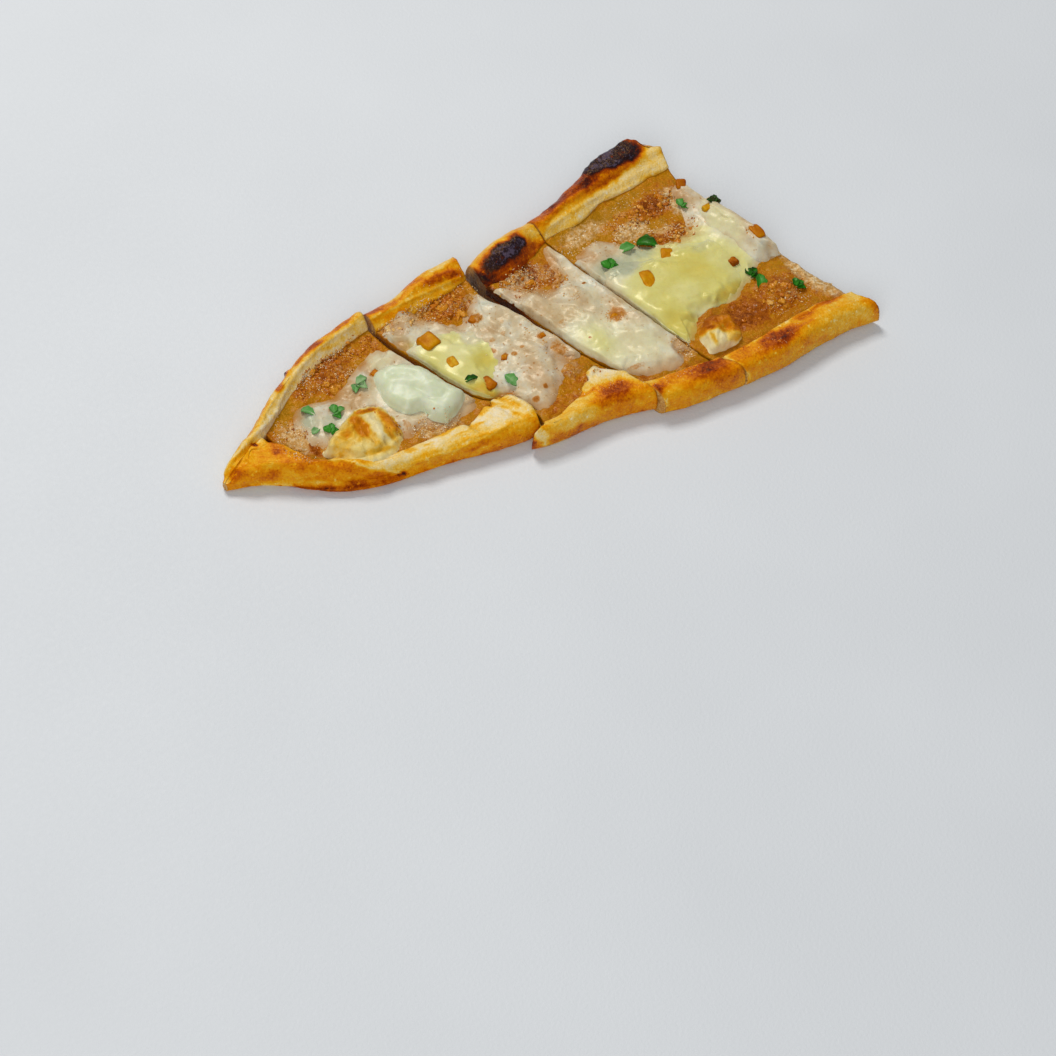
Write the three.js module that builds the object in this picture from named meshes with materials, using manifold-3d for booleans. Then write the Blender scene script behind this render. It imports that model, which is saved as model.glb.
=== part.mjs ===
// Half of a Turkish pide: the pointed end of a boat-shaped flatbread, cut across into four slices that still lie
// together. Each slice is a tray of baked dough with its edges folded in, a filling of stewed onion and minced meat
// that runs through it, a sheet of melted cheese, and larger pieces of cheese on top. Herb leaves and pepper dice
// are fused to what they lie on.
//
// Millimetres, +Z up. While it is drawn, x runs from the pointed tip along the bread, y from its near edge to its far
// one, and z = 0 is the table. A group then moves the origin to the middle of the underside's box.
import * as THREE from "three";
import Module from "manifold-3d";

const wasm = await Module();
wasm.setup();

// ---- Driving dimensions ---------------------------------------------------------------------------------------

const DOUGH = 3.2; // thickness of the dough under the filling
const SEAT = 0.3; // a rim is widest at this share of its height
const UNDER_ROUND = 2.6; // how far the underside curves up before it lies flat
const TOP_ROUND = 4.6; // plan width of the rim's outer rounding
const FAR_LIP = 6.9; // the far rims slope down to this height
const NEAR_LIP_DROP = 1.1; // the near rims end this much below their crest
const GAP = 0.35; // air between two layers
const FILLING_LEVEL = 6.2;
const CHEESE_LEVEL = 7.9;
const EDGE_ROUND = 1.7; // plan width of a cheese edge's rounding
const RIPPLE = 0.35; // fine unevenness of the filling and the cheese
const BURIED = 1; // cheese is drawn down to this height, and then cut off by what it lies on
const DICE_HEIGHT = 2.2;
const LEAF = 0.55; // thickness of a herb leaf
const LEAF_CUP = 0.35; // how far a leaf's edge stands over its rib
const CUTTER_TOP = 30; // cutting solids reach from here
const CUTTER_FOOT = -10; // down to here
const CUTTER_INSET = 0.006; // share of a slice's length that its cheese stays back from each cut
const ACROSS = 8; // steps across the floor of a section

const COLOURS = {
  crust: [0xdd9a3c, 0.7],
  filling: [0xa8681f, 0.4],
  cheese: [0xd8cdb8, 0.45],
  yellow_cheese: [0xd9d27c, 0.3],
  white_cheese: [0xd3dcc0, 0.5],
  baked_cheese: [0xe6cf94, 0.5],
};

// Each slice is bounded by its two cuts, from the far edge to the near one, and by points of its far and near edges
// between them. A row of rims gives a place along the slice from 0 to 1, then the far rim's width and height, the near
// rim's width and height, and how far the dough's base sticks out under the near rim there.
const SLICES = {
  slice_1: {
    left: [[0.4, -0.2], [0.9, -2.4]],
    right: [[66.5, 34.8], [68, 21], [73, 6], [78, -7], [83.5, -15.6], [91.3, -21], [93.6, -27], [93.2, -33.4]],
    far: [[5, 4.2], [10, 7.4], [17, 11], [25, 17.7], [35, 24.3], [45, 29.3], [55, 32.3]],
    near: [[8, -5.6], [13.5, -8.3], [23.5, -17], [33, -22.4], [43, -25.8], [63, -28.6], [83, -32.6]],
    rims: [
      [0, 1.1, 3.4, 1.1, 3.4, 0], [0.1, 4, 7, 6.5, 7.5, 0.3], [0.2, 5, 9, 14.5, 9, 1.6], [0.3, 6, 10, 15.5, 9.5, 3],
      [0.4, 6.5, 10, 10.5, 9, 3], [0.5, 7, 10, 6.5, 8, 2], [0.65, 7.5, 10.5, 7, 8, 0.5], [0.8, 7.5, 11, 9, 8.5, 0],
      [1, 7.5, 11, 18, 9.2, 0],
    ],
    stations: 20,
    firstFilled: 4,
  },
  slice_2: {
    left: [
      [68.4, 33.6], [69.9, 21.5], [74.6, 7], [79, -6.2], [84.2, -14.7], [92.1, -20.2], [94.7, -27], [94.8, -32.4],
      [92.8, -35.4], [88, -36.8],
    ],
    right: [
      [105, 40.3], [105.6, 28], [107.6, 17], [112, 7], [116.6, -6], [119.6, -15], [125, -27], [127.6, -35], [130.3, -43],
    ],
    far: [[80, 34.4], [88, 37.4], [96, 39.2]],
    near: [[93, -38], [99, -38.7], [108, -39], [116, -39.6], [124, -41.2]],
    rims: [
      [0, 7.5, 10, 7, 9.5, 0], [0.4, 9, 10.5, 9.5, 10, 0], [0.6, 10.5, 11, 13, 10, 0], [0.8, 11, 11, 18, 9.8, 0],
      [1, 10, 11, 14, 10, 0],
    ],
    stations: 9,
  },
  slice_3: {
    left: [
      [107.6, 34.6], [107.9, 25], [110, 16.5], [114.1, 6.2], [117.9, -6], [120.8, -15.7], [126.1, -26.9],
      [128.6, -35.3], [131.4, -46],
    ],
    right: [
      [133.6, 40.6], [136, 31], [138.3, 20], [140.7, 8], [143.6, -3], [146.5, -15], [149.5, -26], [153.5, -38],
      [159.8, -49.4],
    ],
    far: [[115, 37], [125, 38.8]],
    near: [[140, -48], [150, -48.9]],
    rims: [
      [0, 11, 10.5, 9.5, 10, 0], [0.35, 14.5, 12.5, 10.5, 10, 0], [0.7, 12, 12, 10.5, 10.2, 0], [1, 10, 11, 10, 10, 0],
    ],
    stations: 8,
  },
  slice_4: {
    left: [
      [134.2, 41], [136.6, 31.2], [138.9, 20.2], [141.3, 8.2], [144.2, -2.8], [147.1, -14.8], [150.1, -25.8],
      [154.1, -37.8], [160.5, -49.6],
    ],
    right: [
      [181, 52.4], [187, 49.8], [191.2, 46.2], [190.6, 33], [194, 15], [198, 0], [201.5, -17], [205.6, -30],
      [208.3, -39], [213.3, -49.3],
    ],
    far: [[145, 42.8], [152, 45.8], [160, 48.3], [167, 50.2], [174, 51.6]],
    near: [[173, -50], [183, -49.2], [193, -48.4], [203, -48.2]],
    rims: [
      [0, 10, 11, 10, 10, 0], [0.4, 13, 12, 10.5, 10.5, 0], [0.8, 18, 12.8, 10.5, 10.3, 0], [1, 19.5, 12.6, 11, 9.6, 0],
    ],
    stations: 10,
  },
};

// Low mounds of the filling and of the melted cheese: x, y, radius along and across, turn in degrees, height.
const FILLING_MOUNDS = [
  [46, 17, 9, 5, 20, 1.3], [26, 2, 4, 6, 20, 0.9], [62, 23, 5, 4, 0, 0.6], [95, 21, 7, 5, 0, 1.4],
  [118, 23, 6, 4, 10, 1.2], [130, 17, 4, 4, 0, 0.9], [171, 27, 9, 6, 10, 1.5], [172, 12, 8, 4, 0, 1.3],
  [190, -25, 7, 6, 0, 2.1], [176, -29, 6, 5, 0, 0.6], [163, -24, 5, 3, 30, 1.2], [113, -19, 6, 3, -20, 1],
];
const CHEESE_MOUNDS = [
  [36, 6, 6, 5, 0, 0.6], [50, 8, 7, 4, 10, 1], [62, 14, 6, 4, 0, 0.7], [78, 23, 7, 4, 0, 1], [103, 11, 7, 9, 20, 1.8],
  [108, -8, 8, 10, 0, 1.5], [101, -20, 6, 6, 0, 0.9], [118, 8, 5, 10, -15, 1.2], [130, 4, 8, 9, -20, 2.6],
  [126, -12, 7, 8, 20, 1.6], [140, -18, 6, 12, 20, 2.2], [150, 17, 7, 5, 10, 1.1], [188, 22, 6, 8, 10, 1.2],
  [190, 2, 8, 8, 0, 1.6], [166, -2, 14, 9, 0, 0.8],
];

// Outlines of the cheese, each seen from every side from its centre. The sheets run on past the cuts, which trim them.
const SHEETS = {
  slice_1: {
    centre: [50, 4],
    outline: [
      [28, 4], [31, 11], [37, 11], [45, 9.5], [51, 12.5], [57, 16.5], [66, 19.5], [72, 12], [79, -2], [84, -12],
      [74, -19], [62, -18.5], [52, -14], [44, -8], [35, -7.5], [29, -4],
    ],
  },
  slice_2: {
    centre: [97, 1],
    outline: [
      [65, 20], [72, 26.5], [80, 27.5], [86, 22], [92, 15], [99, 16], [106, 22], [112, 18], [116, 6], [121, -8],
      [121, -15], [111, -19], [106, -25.5], [97, -27.5], [90, -17], [79, -13], [72, 0], [66, 12],
    ],
  },
  slice_3: {
    centre: [131, -3],
    outline: [
      [107, 16], [112, 21], [117, 20.5], [121.5, 15.5], [127, 13.5], [131, 20], [134, 28], [141, 27], [146, 8],
      [152, -12], [155, -25], [147, -34.5], [138, -35], [130, -31], [119, -20], [112, -2],
    ],
  },
  slice_4: {
    centre: [178, -3],
    outline: [
      [138, 14], [141, 21], [151, 23], [158, 18], [165, 12.5], [173, 10.5], [179.5, 13], [183, 21], [186.5, 31],
      [194, 33], [201, 15], [204, -2], [203, -12], [192, -13.5], [186, -19], [176, -24], [166, -23], [160, -26.5],
      [153.5, -31], [147, -26], [140, -4],
    ],
  },
};

// Larger pieces that lie on the sheets: their slice and finish, the height of their middle, how far they fall away to
// their edge, the plan width of their rounding, and their outline.
const PIECES = {
  slice_1_white_cheese: {
    slice: "slice_1", finish: "white_cheese", top: 12.4, crown: 1.6, round: 3.4, centre: [68, -3],
    outline: [
      [56, 4], [58.5, 9], [64, 9.8], [69, 7], [73, 3], [76.5, -6], [79, -12], [75, -15.5], [69, -18], [64.5, -15],
      [63.5, -11], [58, -9], [55.5, -2],
    ],
  },
  slice_1_baked_cheese: {
    slice: "slice_1", finish: "baked_cheese", top: 10.6, crown: 1.4, round: 3.2, centre: [44, -9.5],
    outline: [
      [30, -9.5], [35, -6], [41, -2.5], [47, -0.6], [52.5, -2], [55.5, -7], [55.5, -13], [52, -18.5], [44, -21.5],
      [37, -17.5],
    ],
  },
  slice_2_yellow_cheese: {
    slice: "slice_2", finish: "yellow_cheese", top: 9.6, crown: 0.7, round: 2.4, centre: [85, 2],
    outline: [
      [70, 6], [74, 14], [80, 17], [87, 14], [93, 9.5], [96.5, 3], [95.5, -5], [91.5, -10], [87.5, -15], [79, -14],
      [75, -6],
    ],
  },
  slice_4_yellow_cheese: {
    slice: "slice_4", finish: "yellow_cheese", top: 10.1, crown: 0.9, round: 3, centre: [166, -5],
    outline: [
      [141, 4], [146, 10], [154, 9.5], [162, 6.5], [172, 7.5], [180, 5.5], [185, 0.5], [186.5, -7], [183, -14],
      [176, -19.5], [167, -20.5], [160, -20], [155.5, -27], [151.5, -29], [145, -14],
    ],
  },
  slice_4_white_cheese: {
    slice: "slice_4", finish: "cheese", top: 12.2, crown: 0.9, round: 3, centre: [192.5, 3.5],
    outline: [
      [187, 18], [192, 19], [197, 15], [202, 0], [202.5, -10], [196, -12.5], [190.5, -10.5], [188.5, -2], [186.2, 8],
    ],
  },
  slice_4_baked_cheese: {
    slice: "slice_4", finish: "baked_cheese", top: 10.4, crown: 1.1, round: 2.6, centre: [161.5, -31.5],
    outline: [
      [156.3, -30], [159.5, -27.2], [164.5, -26.4], [168.2, -29.5], [168.4, -34], [165, -37.3], [159.5, -37.6],
      [156.2, -34.5],
    ],
  },
};

// Pepper dice: what they lie on, x, y, length, width, turn in degrees.
const DICE = [
  ["slice_2_yellow_cheese", 79.6, 11.6, 6.6, 6.4, 12], ["slice_2_yellow_cheese", 82, 0.6, 4.6, 3.2, 70],
  ["slice_2_yellow_cheese", 88, -9.6, 3.6, 4.4, 20], ["slice_2_cheese", 99, 12.6, 2.8, 2.8, 30],
  ["slice_2_cheese", 100.5, -6.5, 2.6, 2.2, 60], ["slice_2_cheese", 112.5, -3, 2.6, 2.2, 10],
  ["slice_1_cheese", 58.6, 12, 2.8, 2.4, 20], ["slice_3_cheese", 135.6, -8, 4.6, 3.6, 30],
  ["slice_4_yellow_cheese", 155, -1.8, 8.4, 4.6, 76], ["slice_4_yellow_cheese", 167, 4, 5, 3.6, 60],
  ["slice_4_yellow_cheese", 182, -8.6, 3, 3, 10], ["slice_4_yellow_cheese", 167.5, -14.6, 4, 3, 20],
  ["slice_4_cheese", 188.6, 28.2, 4.2, 3.2, 40], ["slice_4_white_cheese", 196.6, -3.2, 6.4, 3.6, 80],
];

// Herb leaves: what they lie on, x, y, length, width, turn in degrees, slope in degrees.
const LEAVES = [
  ["slice_1_cheese", 34.4, 5.6, 5, 3.4, -50, 12], ["slice_1_cheese", 41.4, 2.2, 5.6, 3.6, -15, 14],
  ["slice_1_cheese", 52.8, 7, 6, 3.4, -45, 16], ["slice_1_cheese", 33, -1.8, 4, 2.6, 10, 10],
  ["slice_2_yellow_cheese", 84, -8, 4.6, 2.2, -10, 6], ["slice_2_cheese", 94.6, -14.8, 6.4, 4.6, 70, 8],
  ["slice_4_cheese", 148.2, 14, 5.6, 3.6, 55, 14], ["slice_4_cheese", 156.8, 13.8, 5.2, 3.2, 5, 10],
  ["slice_4_cheese", 163.6, 10, 7, 5.2, -40, 16], ["slice_4_cheese", 185, 22.4, 4.8, 3.2, 30, 14],
  ["slice_4_filling", 187.4, -22.2, 6, 3.8, 60, 14], ["slice_4_filling", 196, -26, 4.4, 3.2, 20, 12],
];

// ---- Curves and heights -----------------------------------------------------------------------------------------

const curve = (points) => new THREE.SplineCurve(points.map(([x, y]) => new THREE.Vector2(x, y)));
const mix = (a, b, share) => a + (b - a) * share;
const radians = THREE.MathUtils.degToRad;

// Value of one column of a slice's rims at a place along it.
function alongRims(rims, place, column) {
  const next = Math.max(1, rims.findIndex(([at]) => at >= place));
  const [a, b] = [rims[next - 1], rims[next]];
  return mix(a[column], b[column], THREE.MathUtils.smoothstep(place, a[0], b[0]));
}

// A slice's plan: point(along, across) lies on the patch between its two cuts and its two edges, span(along) is the
// length of a section across it, and rim(along, column) reads its table of rims.
function planOf({ left, right, far, near, rims }) {
  const cuts = [curve(left), curve(right)];
  const edges = [curve([left[0], ...far, right[0]]), curve([left.at(-1), ...near, right.at(-1)])];
  const corner = (i, j) => cuts[i].getPointAt(j);
  const point = (along, across) => {
    const at = new THREE.Vector2();
    [1 - along, along].forEach((w, i) => at.addScaledVector(cuts[i].getPointAt(across), w));
    [1 - across, across].forEach((w, j) => at.addScaledVector(edges[j].getPointAt(along), w));
    [1 - along, along].forEach((u, i) =>
      [1 - across, across].forEach((v, j) => at.addScaledVector(corner(i, j), -u * v)),
    );
    return at;
  };
  const STEPS = 24;
  const span = (along) => {
    let length = 0;
    for (let i = 0; i < STEPS; i++) length += point(along, i / STEPS).distanceTo(point(along, (i + 1) / STEPS));
    return length;
  };
  return { point, span, rim: (along, column) => alongRims(rims, along, column) };
}

// Height that mounds add at a point.
function raised(mounds, x, y) {
  return mounds.reduce((sum, [mx, my, along, across, turn, height]) => {
    const [c, s] = [Math.cos(radians(turn)), Math.sin(radians(turn))];
    const [u, v] = [((x - mx) * c + (y - my) * s) / along, ((y - my) * c - (x - mx) * s) / across];
    return sum + height * Math.exp(-(u * u + v * v));
  }, 0);
}
const ripple = (x, y) => RIPPLE * Math.sin(0.42 * x + 0.5) * Math.cos(0.37 * y + 0.2 * x);
const fillingTop = (x, y) => FILLING_LEVEL + ripple(x, y) + raised(FILLING_MOUNDS, x, y);
const cheeseTop = (x, y) => CHEESE_LEVEL + ripple(y, x) + raised(CHEESE_MOUNDS, x, y);

// ---- Sections: rows of [distance from the far edge, height] -----------------------------------------------------

// Rim from its outermost point to its lip, with distances from its own edge. Its top falls to the lip along a power
// curve, and a ledge is dough that sticks out under it.
function rimSection({ width, height, lip, slope, ledge = 0 }) {
  const round = Math.min(0.55 * (width - ledge), TOP_ROUND);
  const side = SEAT * height;
  const arc = [0, 0.34, 0.67, 1].map((q) => {
    const angle = (q * Math.PI) / 2;
    return [ledge + round * (1 - Math.cos(angle)), side + (height - side) * Math.sin(angle)];
  });
  const top = [0.35, 0.7, 1].map((q) => [mix(ledge + round, width, q), height - (height - lip) * q ** slope]);
  return [[0, Math.min(side, 0.6 * DOUGH)], ...arc, ...top];
}

// Distances across the floor.
function spread(low, high) {
  const end = Math.max(high, low + 0.2);
  return Array.from({ length: ACROSS + 1 }, (_, i) => mix(low, end, i / ACROSS));
}

// Both rims, and where the floor between their walls begins, ends and lies. The floor rises where the rims meet.
function sectionOf(span, rim) {
  const [farHeight, nearHeight] = [rim(2), rim(4)];
  const far = rimSection({ width: rim(1), height: farHeight, lip: Math.min(FAR_LIP, farHeight), slope: 1.7 });
  const near = rimSection({
    width: rim(3), height: nearHeight, lip: nearHeight - NEAR_LIP_DROP, slope: 2, ledge: rim(5),
  }).map(([distance, height]) => [span - distance, height]);
  const [from, to] = [rim(1), span - rim(3)];
  const closed = Math.min(farHeight, nearHeight) - 0.4;
  const floor = mix(closed, DOUGH, THREE.MathUtils.smoothstep(to - from, 1, 9));
  return { far, near: near.reverse(), from, to, floor };
}

// Top over the rims and the filling, raised by the gap.
function carryingTop(span, rim) {
  const { far, near, from, to } = sectionOf(span, rim);
  const lift = ([distance, height]) => [distance, height + GAP];
  const [low, high] = [from + GAP, to - GAP];
  const middle = spread(low, high).map((distance) => [distance, (x, y) => fillingTop(x, y) + GAP]);
  const [farWall, nearWall] = [[low, far.at(-1)[1] + GAP], [high, near[0][1] + GAP]];
  return [...far.map(lift), farWall, ...middle, nearWall, ...near.map(lift)];
}

// ---- Solids -----------------------------------------------------------------------------------------------------

// A solid from points and triangles that all face in or all face out. Points that coincide become one, and triangles
// that this closes are dropped.
function solid(points, triangles) {
  const found = new Map();
  const kept = [];
  const index = points.map(({ x, y, z }) => {
    const key = [x, y, z].map((value) => Math.round(value * 1e4)).join();
    if (!found.has(key)) {
      found.set(key, kept.length / 3);
      kept.push(x, y, z);
    }
    return found.get(key);
  });
  const faces = triangles
    .map((triangle) => triangle.map((i) => index[i]))
    .filter(([a, b, c]) => a !== b && b !== c && c !== a);
  const build = (list) =>
    new wasm.Manifold(
      new wasm.Mesh({ numProp: 3, vertProperties: new Float32Array(kept), triVerts: new Uint32Array(list.flat()) }),
    );
  const made = build(faces);
  return made.volume() < 0 ? build(faces.map(([a, b, c]) => [a, c, b])) : made;
}

// The solid between an upper and a lower sheet: upper[i][k] lies over lower[i][k].
function between(upper, lower) {
  const [rows, columns] = [upper.length, upper[0].length];
  const points = [...upper.flat(), ...lower.flat()];
  const top = (i, k) => i * columns + k;
  const bottom = (i, k) => (rows + i) * columns + k;
  const triangles = [];
  const quad = (a, b, c, d) => triangles.push([a, b, c], [a, c, d]);
  for (let i = 0; i + 1 < rows; i++) {
    for (let k = 0; k + 1 < columns; k++) {
      quad(top(i, k), top(i, k + 1), top(i + 1, k + 1), top(i + 1, k));
      quad(bottom(i, k), bottom(i + 1, k), bottom(i + 1, k + 1), bottom(i, k + 1));
    }
    quad(top(i, 0), top(i + 1, 0), bottom(i + 1, 0), bottom(i, 0));
    quad(top(i + 1, columns - 1), top(i, columns - 1), bottom(i, columns - 1), bottom(i + 1, columns - 1));
  }
  for (let k = 0; k + 1 < columns; k++) {
    quad(top(0, k + 1), top(0, k), bottom(0, k), bottom(0, k + 1));
    quad(top(rows - 1, k), top(rows - 1, k + 1), bottom(rows - 1, k + 1), bottom(rows - 1, k));
  }
  return solid(points, triangles);
}

// Lofts a slice's sections: make(span, rim) gives the upper and the lower row of the section at each station.
function lofted({ plan, stations }, make, { first = 0, inset = 0 } = {}) {
  const rows = [];
  for (let i = first; i < stations; i++) {
    const along = mix(inset, 1 - inset, i / (stations - 1));
    const span = plan.span(along);
    const at = ([distance, height]) => {
      const { x, y } = plan.point(along, THREE.MathUtils.clamp(distance / span, 0, 1));
      return new THREE.Vector3(x, y, typeof height === "function" ? height(x, y) : height);
    };
    rows.push(make(span, (column) => plan.rim(along, column)).map((row) => row.map(at)));
  }
  return between(rows.map(([upper]) => upper), rows.map(([, lower]) => lower));
}

// Tray of dough: floor and two rims, with an underside that curves up to the rims' outermost points.
function crust(slice) {
  return lofted(slice, (span, rim) => {
    const { far, near, from, to, floor } = sectionOf(span, rim);
    const upper = [...far, ...spread(from, to).map((distance) => [distance, floor]), ...near];
    const round = Math.min(UNDER_ROUND, 0.3 * span);
    const lower = upper.map(([distance], k) => {
      const fromEdge = Math.min(k, upper.length - 1 - k);
      if (fromEdge > 3) return [distance, 0];
      const angle = (fromEdge / 3) * (Math.PI / 2);
      const [isFar, inset] = [k < upper.length / 2, round * Math.sin(angle)];
      const side = isFar ? far[0][1] : near.at(-1)[1];
      return [isFar ? inset : span - inset, side * (1 - Math.sin(angle)) ** 1.2];
    });
    return [upper, lower];
  });
}

// Filling between the rims, over the floor, from the station where the tray is wide enough to hold it.
function filling(slice) {
  const make = (span, rim) => {
    const { from, to, floor } = sectionOf(span, rim);
    const across = spread(from + GAP, to - GAP);
    return [across.map((distance) => [distance, fillingTop]), across.map((distance) => [distance, floor + GAP])];
  };
  return lofted(slice, make, { first: slice.firstFilled ?? 0 });
}

// Everything that carries the cheese, down to below the table.
function carrier(slice) {
  return lofted(slice, (span, rim) => {
    const upper = carryingTop(span, rim);
    return [upper, upper.map(([distance]) => [distance, 0.5 * CUTTER_FOOT])];
  });
}

// Plan of a slice as a tall block, a little inside its cuts.
function block(slice) {
  const level = (section, z) => section.map(([distance]) => [distance, z]);
  const make = (span, rim) => [CUTTER_TOP, CUTTER_FOOT].map((z) => level(carryingTop(span, rim), z));
  return lofted(slice, make, { inset: CUTTER_INSET });
}

// Dome over an outline: rings from its rounded edge to its centre, closed below at a depth.
function dome({ centre, outline, round, top, depth, segments }) {
  const border = curve([...outline, outline[0]]);
  const middle = new THREE.Vector2(...centre);
  // Each ring's inset and drop, in roundings, and its share of the way to the centre.
  const rings = [[0, null, 0], [0, 1, 0], [0.35, 0.45, 0], [1, 0, 0], [1, 0, 0.25], [1, 0, 0.5], [1, 0, 0.75]];
  const points = [];
  for (const [inset, drop, share] of rings) {
    for (let i = 0; i < segments; i++) {
      const way = border.getPointAt(i / segments).sub(middle);
      const reach = way.length();
      const at = middle.clone().addScaledVector(way, ((reach - inset * round) / reach) * (1 - share));
      points.push(new THREE.Vector3(at.x, at.y, drop === null ? depth : top(at.x, at.y) - drop * round));
    }
  }
  for (const z of [top(middle.x, middle.y), depth]) points.push(new THREE.Vector3(middle.x, middle.y, z));
  const triangles = [];
  const [peak, foot] = [rings.length * segments, rings.length * segments + 1];
  for (let i = 0; i < segments; i++) {
    const j = (i + 1) % segments;
    for (let r = 0; r + 1 < rings.length; r++) {
      const [a, b, c, d] = [r * segments + i, r * segments + j, (r + 1) * segments + j, (r + 1) * segments + i];
      triangles.push([a, b, c], [a, c, d]);
    }
    triangles.push([peak - segments + i, peak - segments + j, peak], [j, i, foot]);
  }
  return solid(points, triangles);
}

// A pepper dice, narrower at its top.
function dice([, x, y, length, width, turn], z) {
  const made = new THREE.CylinderGeometry(0.58, Math.SQRT1_2, 1, 4, 1, false, Math.PI / 4);
  made.rotateX(Math.PI / 2).scale(length, width, DICE_HEIGHT);
  made.rotateZ(radians(turn)).translate(x, y, z);
  return fromGeometry(made);
}

// A pointed herb leaf, folded a little along its rib and waved along its edges.
function leaf([, x, y, length, width, turn, slope], z) {
  const EDGE = 8;
  const rim = Array.from({ length: EDGE }, (_, i) => {
    const angle = (i / EDGE) * 2 * Math.PI;
    const side = 0.5 * width * Math.sin(angle) * (1 - 0.25 * Math.cos(angle));
    const wave = 0.12 * width * Math.sin(3 * angle + x);
    return new THREE.Vector3(0.5 * length * Math.cos(angle), side, LEAF_CUP + wave);
  });
  const rib = new THREE.Vector3(0, 0, 0);
  const sheet = [...rim, rib];
  const points = [...sheet, ...sheet.map((p) => p.clone().add(new THREE.Vector3(0, 0, -LEAF)))];
  const triangles = [];
  const below = sheet.length;
  for (let i = 0; i < EDGE; i++) {
    const j = (i + 1) % EDGE;
    triangles.push([EDGE, i, j], [EDGE + below, j + below, i + below]);
    triangles.push([i, i + below, j + below], [i, j + below, j]);
  }
  const turned = new THREE.Matrix4()
    .makeTranslation(x, y, z)
    .multiply(new THREE.Matrix4().makeRotationZ(radians(turn)))
    .multiply(new THREE.Matrix4().makeRotationY(radians(-slope)));
  return solid(points.map((p) => p.applyMatrix4(turned)), triangles);
}

function fromGeometry(geometry) {
  const flat = geometry.index ? geometry.toNonIndexed() : geometry;
  const { array, count } = flat.getAttribute("position");
  const points = Array.from({ length: count }, (_, i) => new THREE.Vector3().fromArray(array, 3 * i));
  return solid(points, Array.from({ length: count / 3 }, (_, i) => [3 * i, 3 * i + 1, 3 * i + 2]));
}

const largest = (made) => made.decompose().reduce((a, b) => (a.volume() > b.volume() ? a : b));

// ---- Assembly ---------------------------------------------------------------------------------------------------

const solids = new Map(); // node name to [solid, finish, height of its top at a point]
const covers = {}; // for each slice, everything that a later piece has to lie on, raised by the gap
const blocks = {}; // for each slice, the plan that trims its cheese

// Lays a dome of cheese on a slice, cut to the slice's plan and to what lies under it.
function lay(name, slice, finish, piece) {
  const raw = dome({ ...piece, depth: BURIED }).intersect(blocks[slice]);
  solids.set(name, [largest(raw.subtract(covers[slice])), finish, piece.top]);
  const raised = (x, y) => piece.top(x, y) + GAP;
  covers[slice] = covers[slice].add(dome({ ...piece, top: raised, depth: 0.4 * CUTTER_FOOT }));
}

for (const [name, slice] of Object.entries(SLICES)) {
  slice.plan = planOf(slice);
  solids.set(`${name}_crust`, [crust(slice), "crust"]);
  solids.set(`${name}_filling`, [filling(slice), "filling", fillingTop]);
  blocks[name] = block(slice);
  covers[name] = carrier(slice);
  lay(`${name}_cheese`, name, "cheese", { ...SHEETS[name], top: cheeseTop, round: EDGE_ROUND, segments: 30 });
}

for (const [name, piece] of Object.entries(PIECES)) {
  const fromCentre = (x, y) => Math.hypot(x - piece.centre[0], y - piece.centre[1]);
  const size = Math.max(...piece.outline.map(([x, y]) => fromCentre(x, y)));
  const top = (x, y) => piece.top - piece.crown * (fromCentre(x, y) / size) ** 2 + 0.7 * ripple(x, 2 * y);
  lay(name, piece.slice, piece.finish, { ...piece, top, segments: 24 });
}

for (const [rows, make] of [[DICE, dice], [LEAVES, leaf]]) {
  for (const row of rows) {
    const [base, finish, top] = solids.get(row[0]);
    solids.set(row[0], [largest(base.add(make(row, top(row[1], row[2])))), finish, top]);
  }
}

const pide = new THREE.Group();
for (const [name, [made, finish]] of solids) {
  const { vertProperties, triVerts } = made.getMesh();
  const geometry = new THREE.BufferGeometry()
    .setAttribute("position", new THREE.BufferAttribute(vertProperties, 3))
    .setIndex(new THREE.BufferAttribute(triVerts, 1));
  const [color, roughness] = COLOURS[finish];
  const mesh = new THREE.Mesh(geometry, new THREE.MeshStandardMaterial({ color, roughness }));
  mesh.name = name;
  pide.add(mesh);
}

const middle = new THREE.Box3().setFromObject(pide).getCenter(new THREE.Vector3());
pide.position.set(-middle.x, -middle.y, 0);

const part = new THREE.Group();
part.add(pide);
export default part;
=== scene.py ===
"""Half of a Turkish pide in four slices: dough trays, stewed filling, melted cheese, herbs and pepper.

Lengths are in millimetres while the bread is drawn: x runs from its pointed tip along it, y from its near
edge to its far one, and z up from the table. Form.piece moves the points to metres and to the frame's middle.
"""
import logging
import math
from dataclasses import dataclass, field
from enum import Enum
from itertools import product
from typing import Sequence

import bpy
import numpy as np
from mathutils import Matrix, Vector


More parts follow.
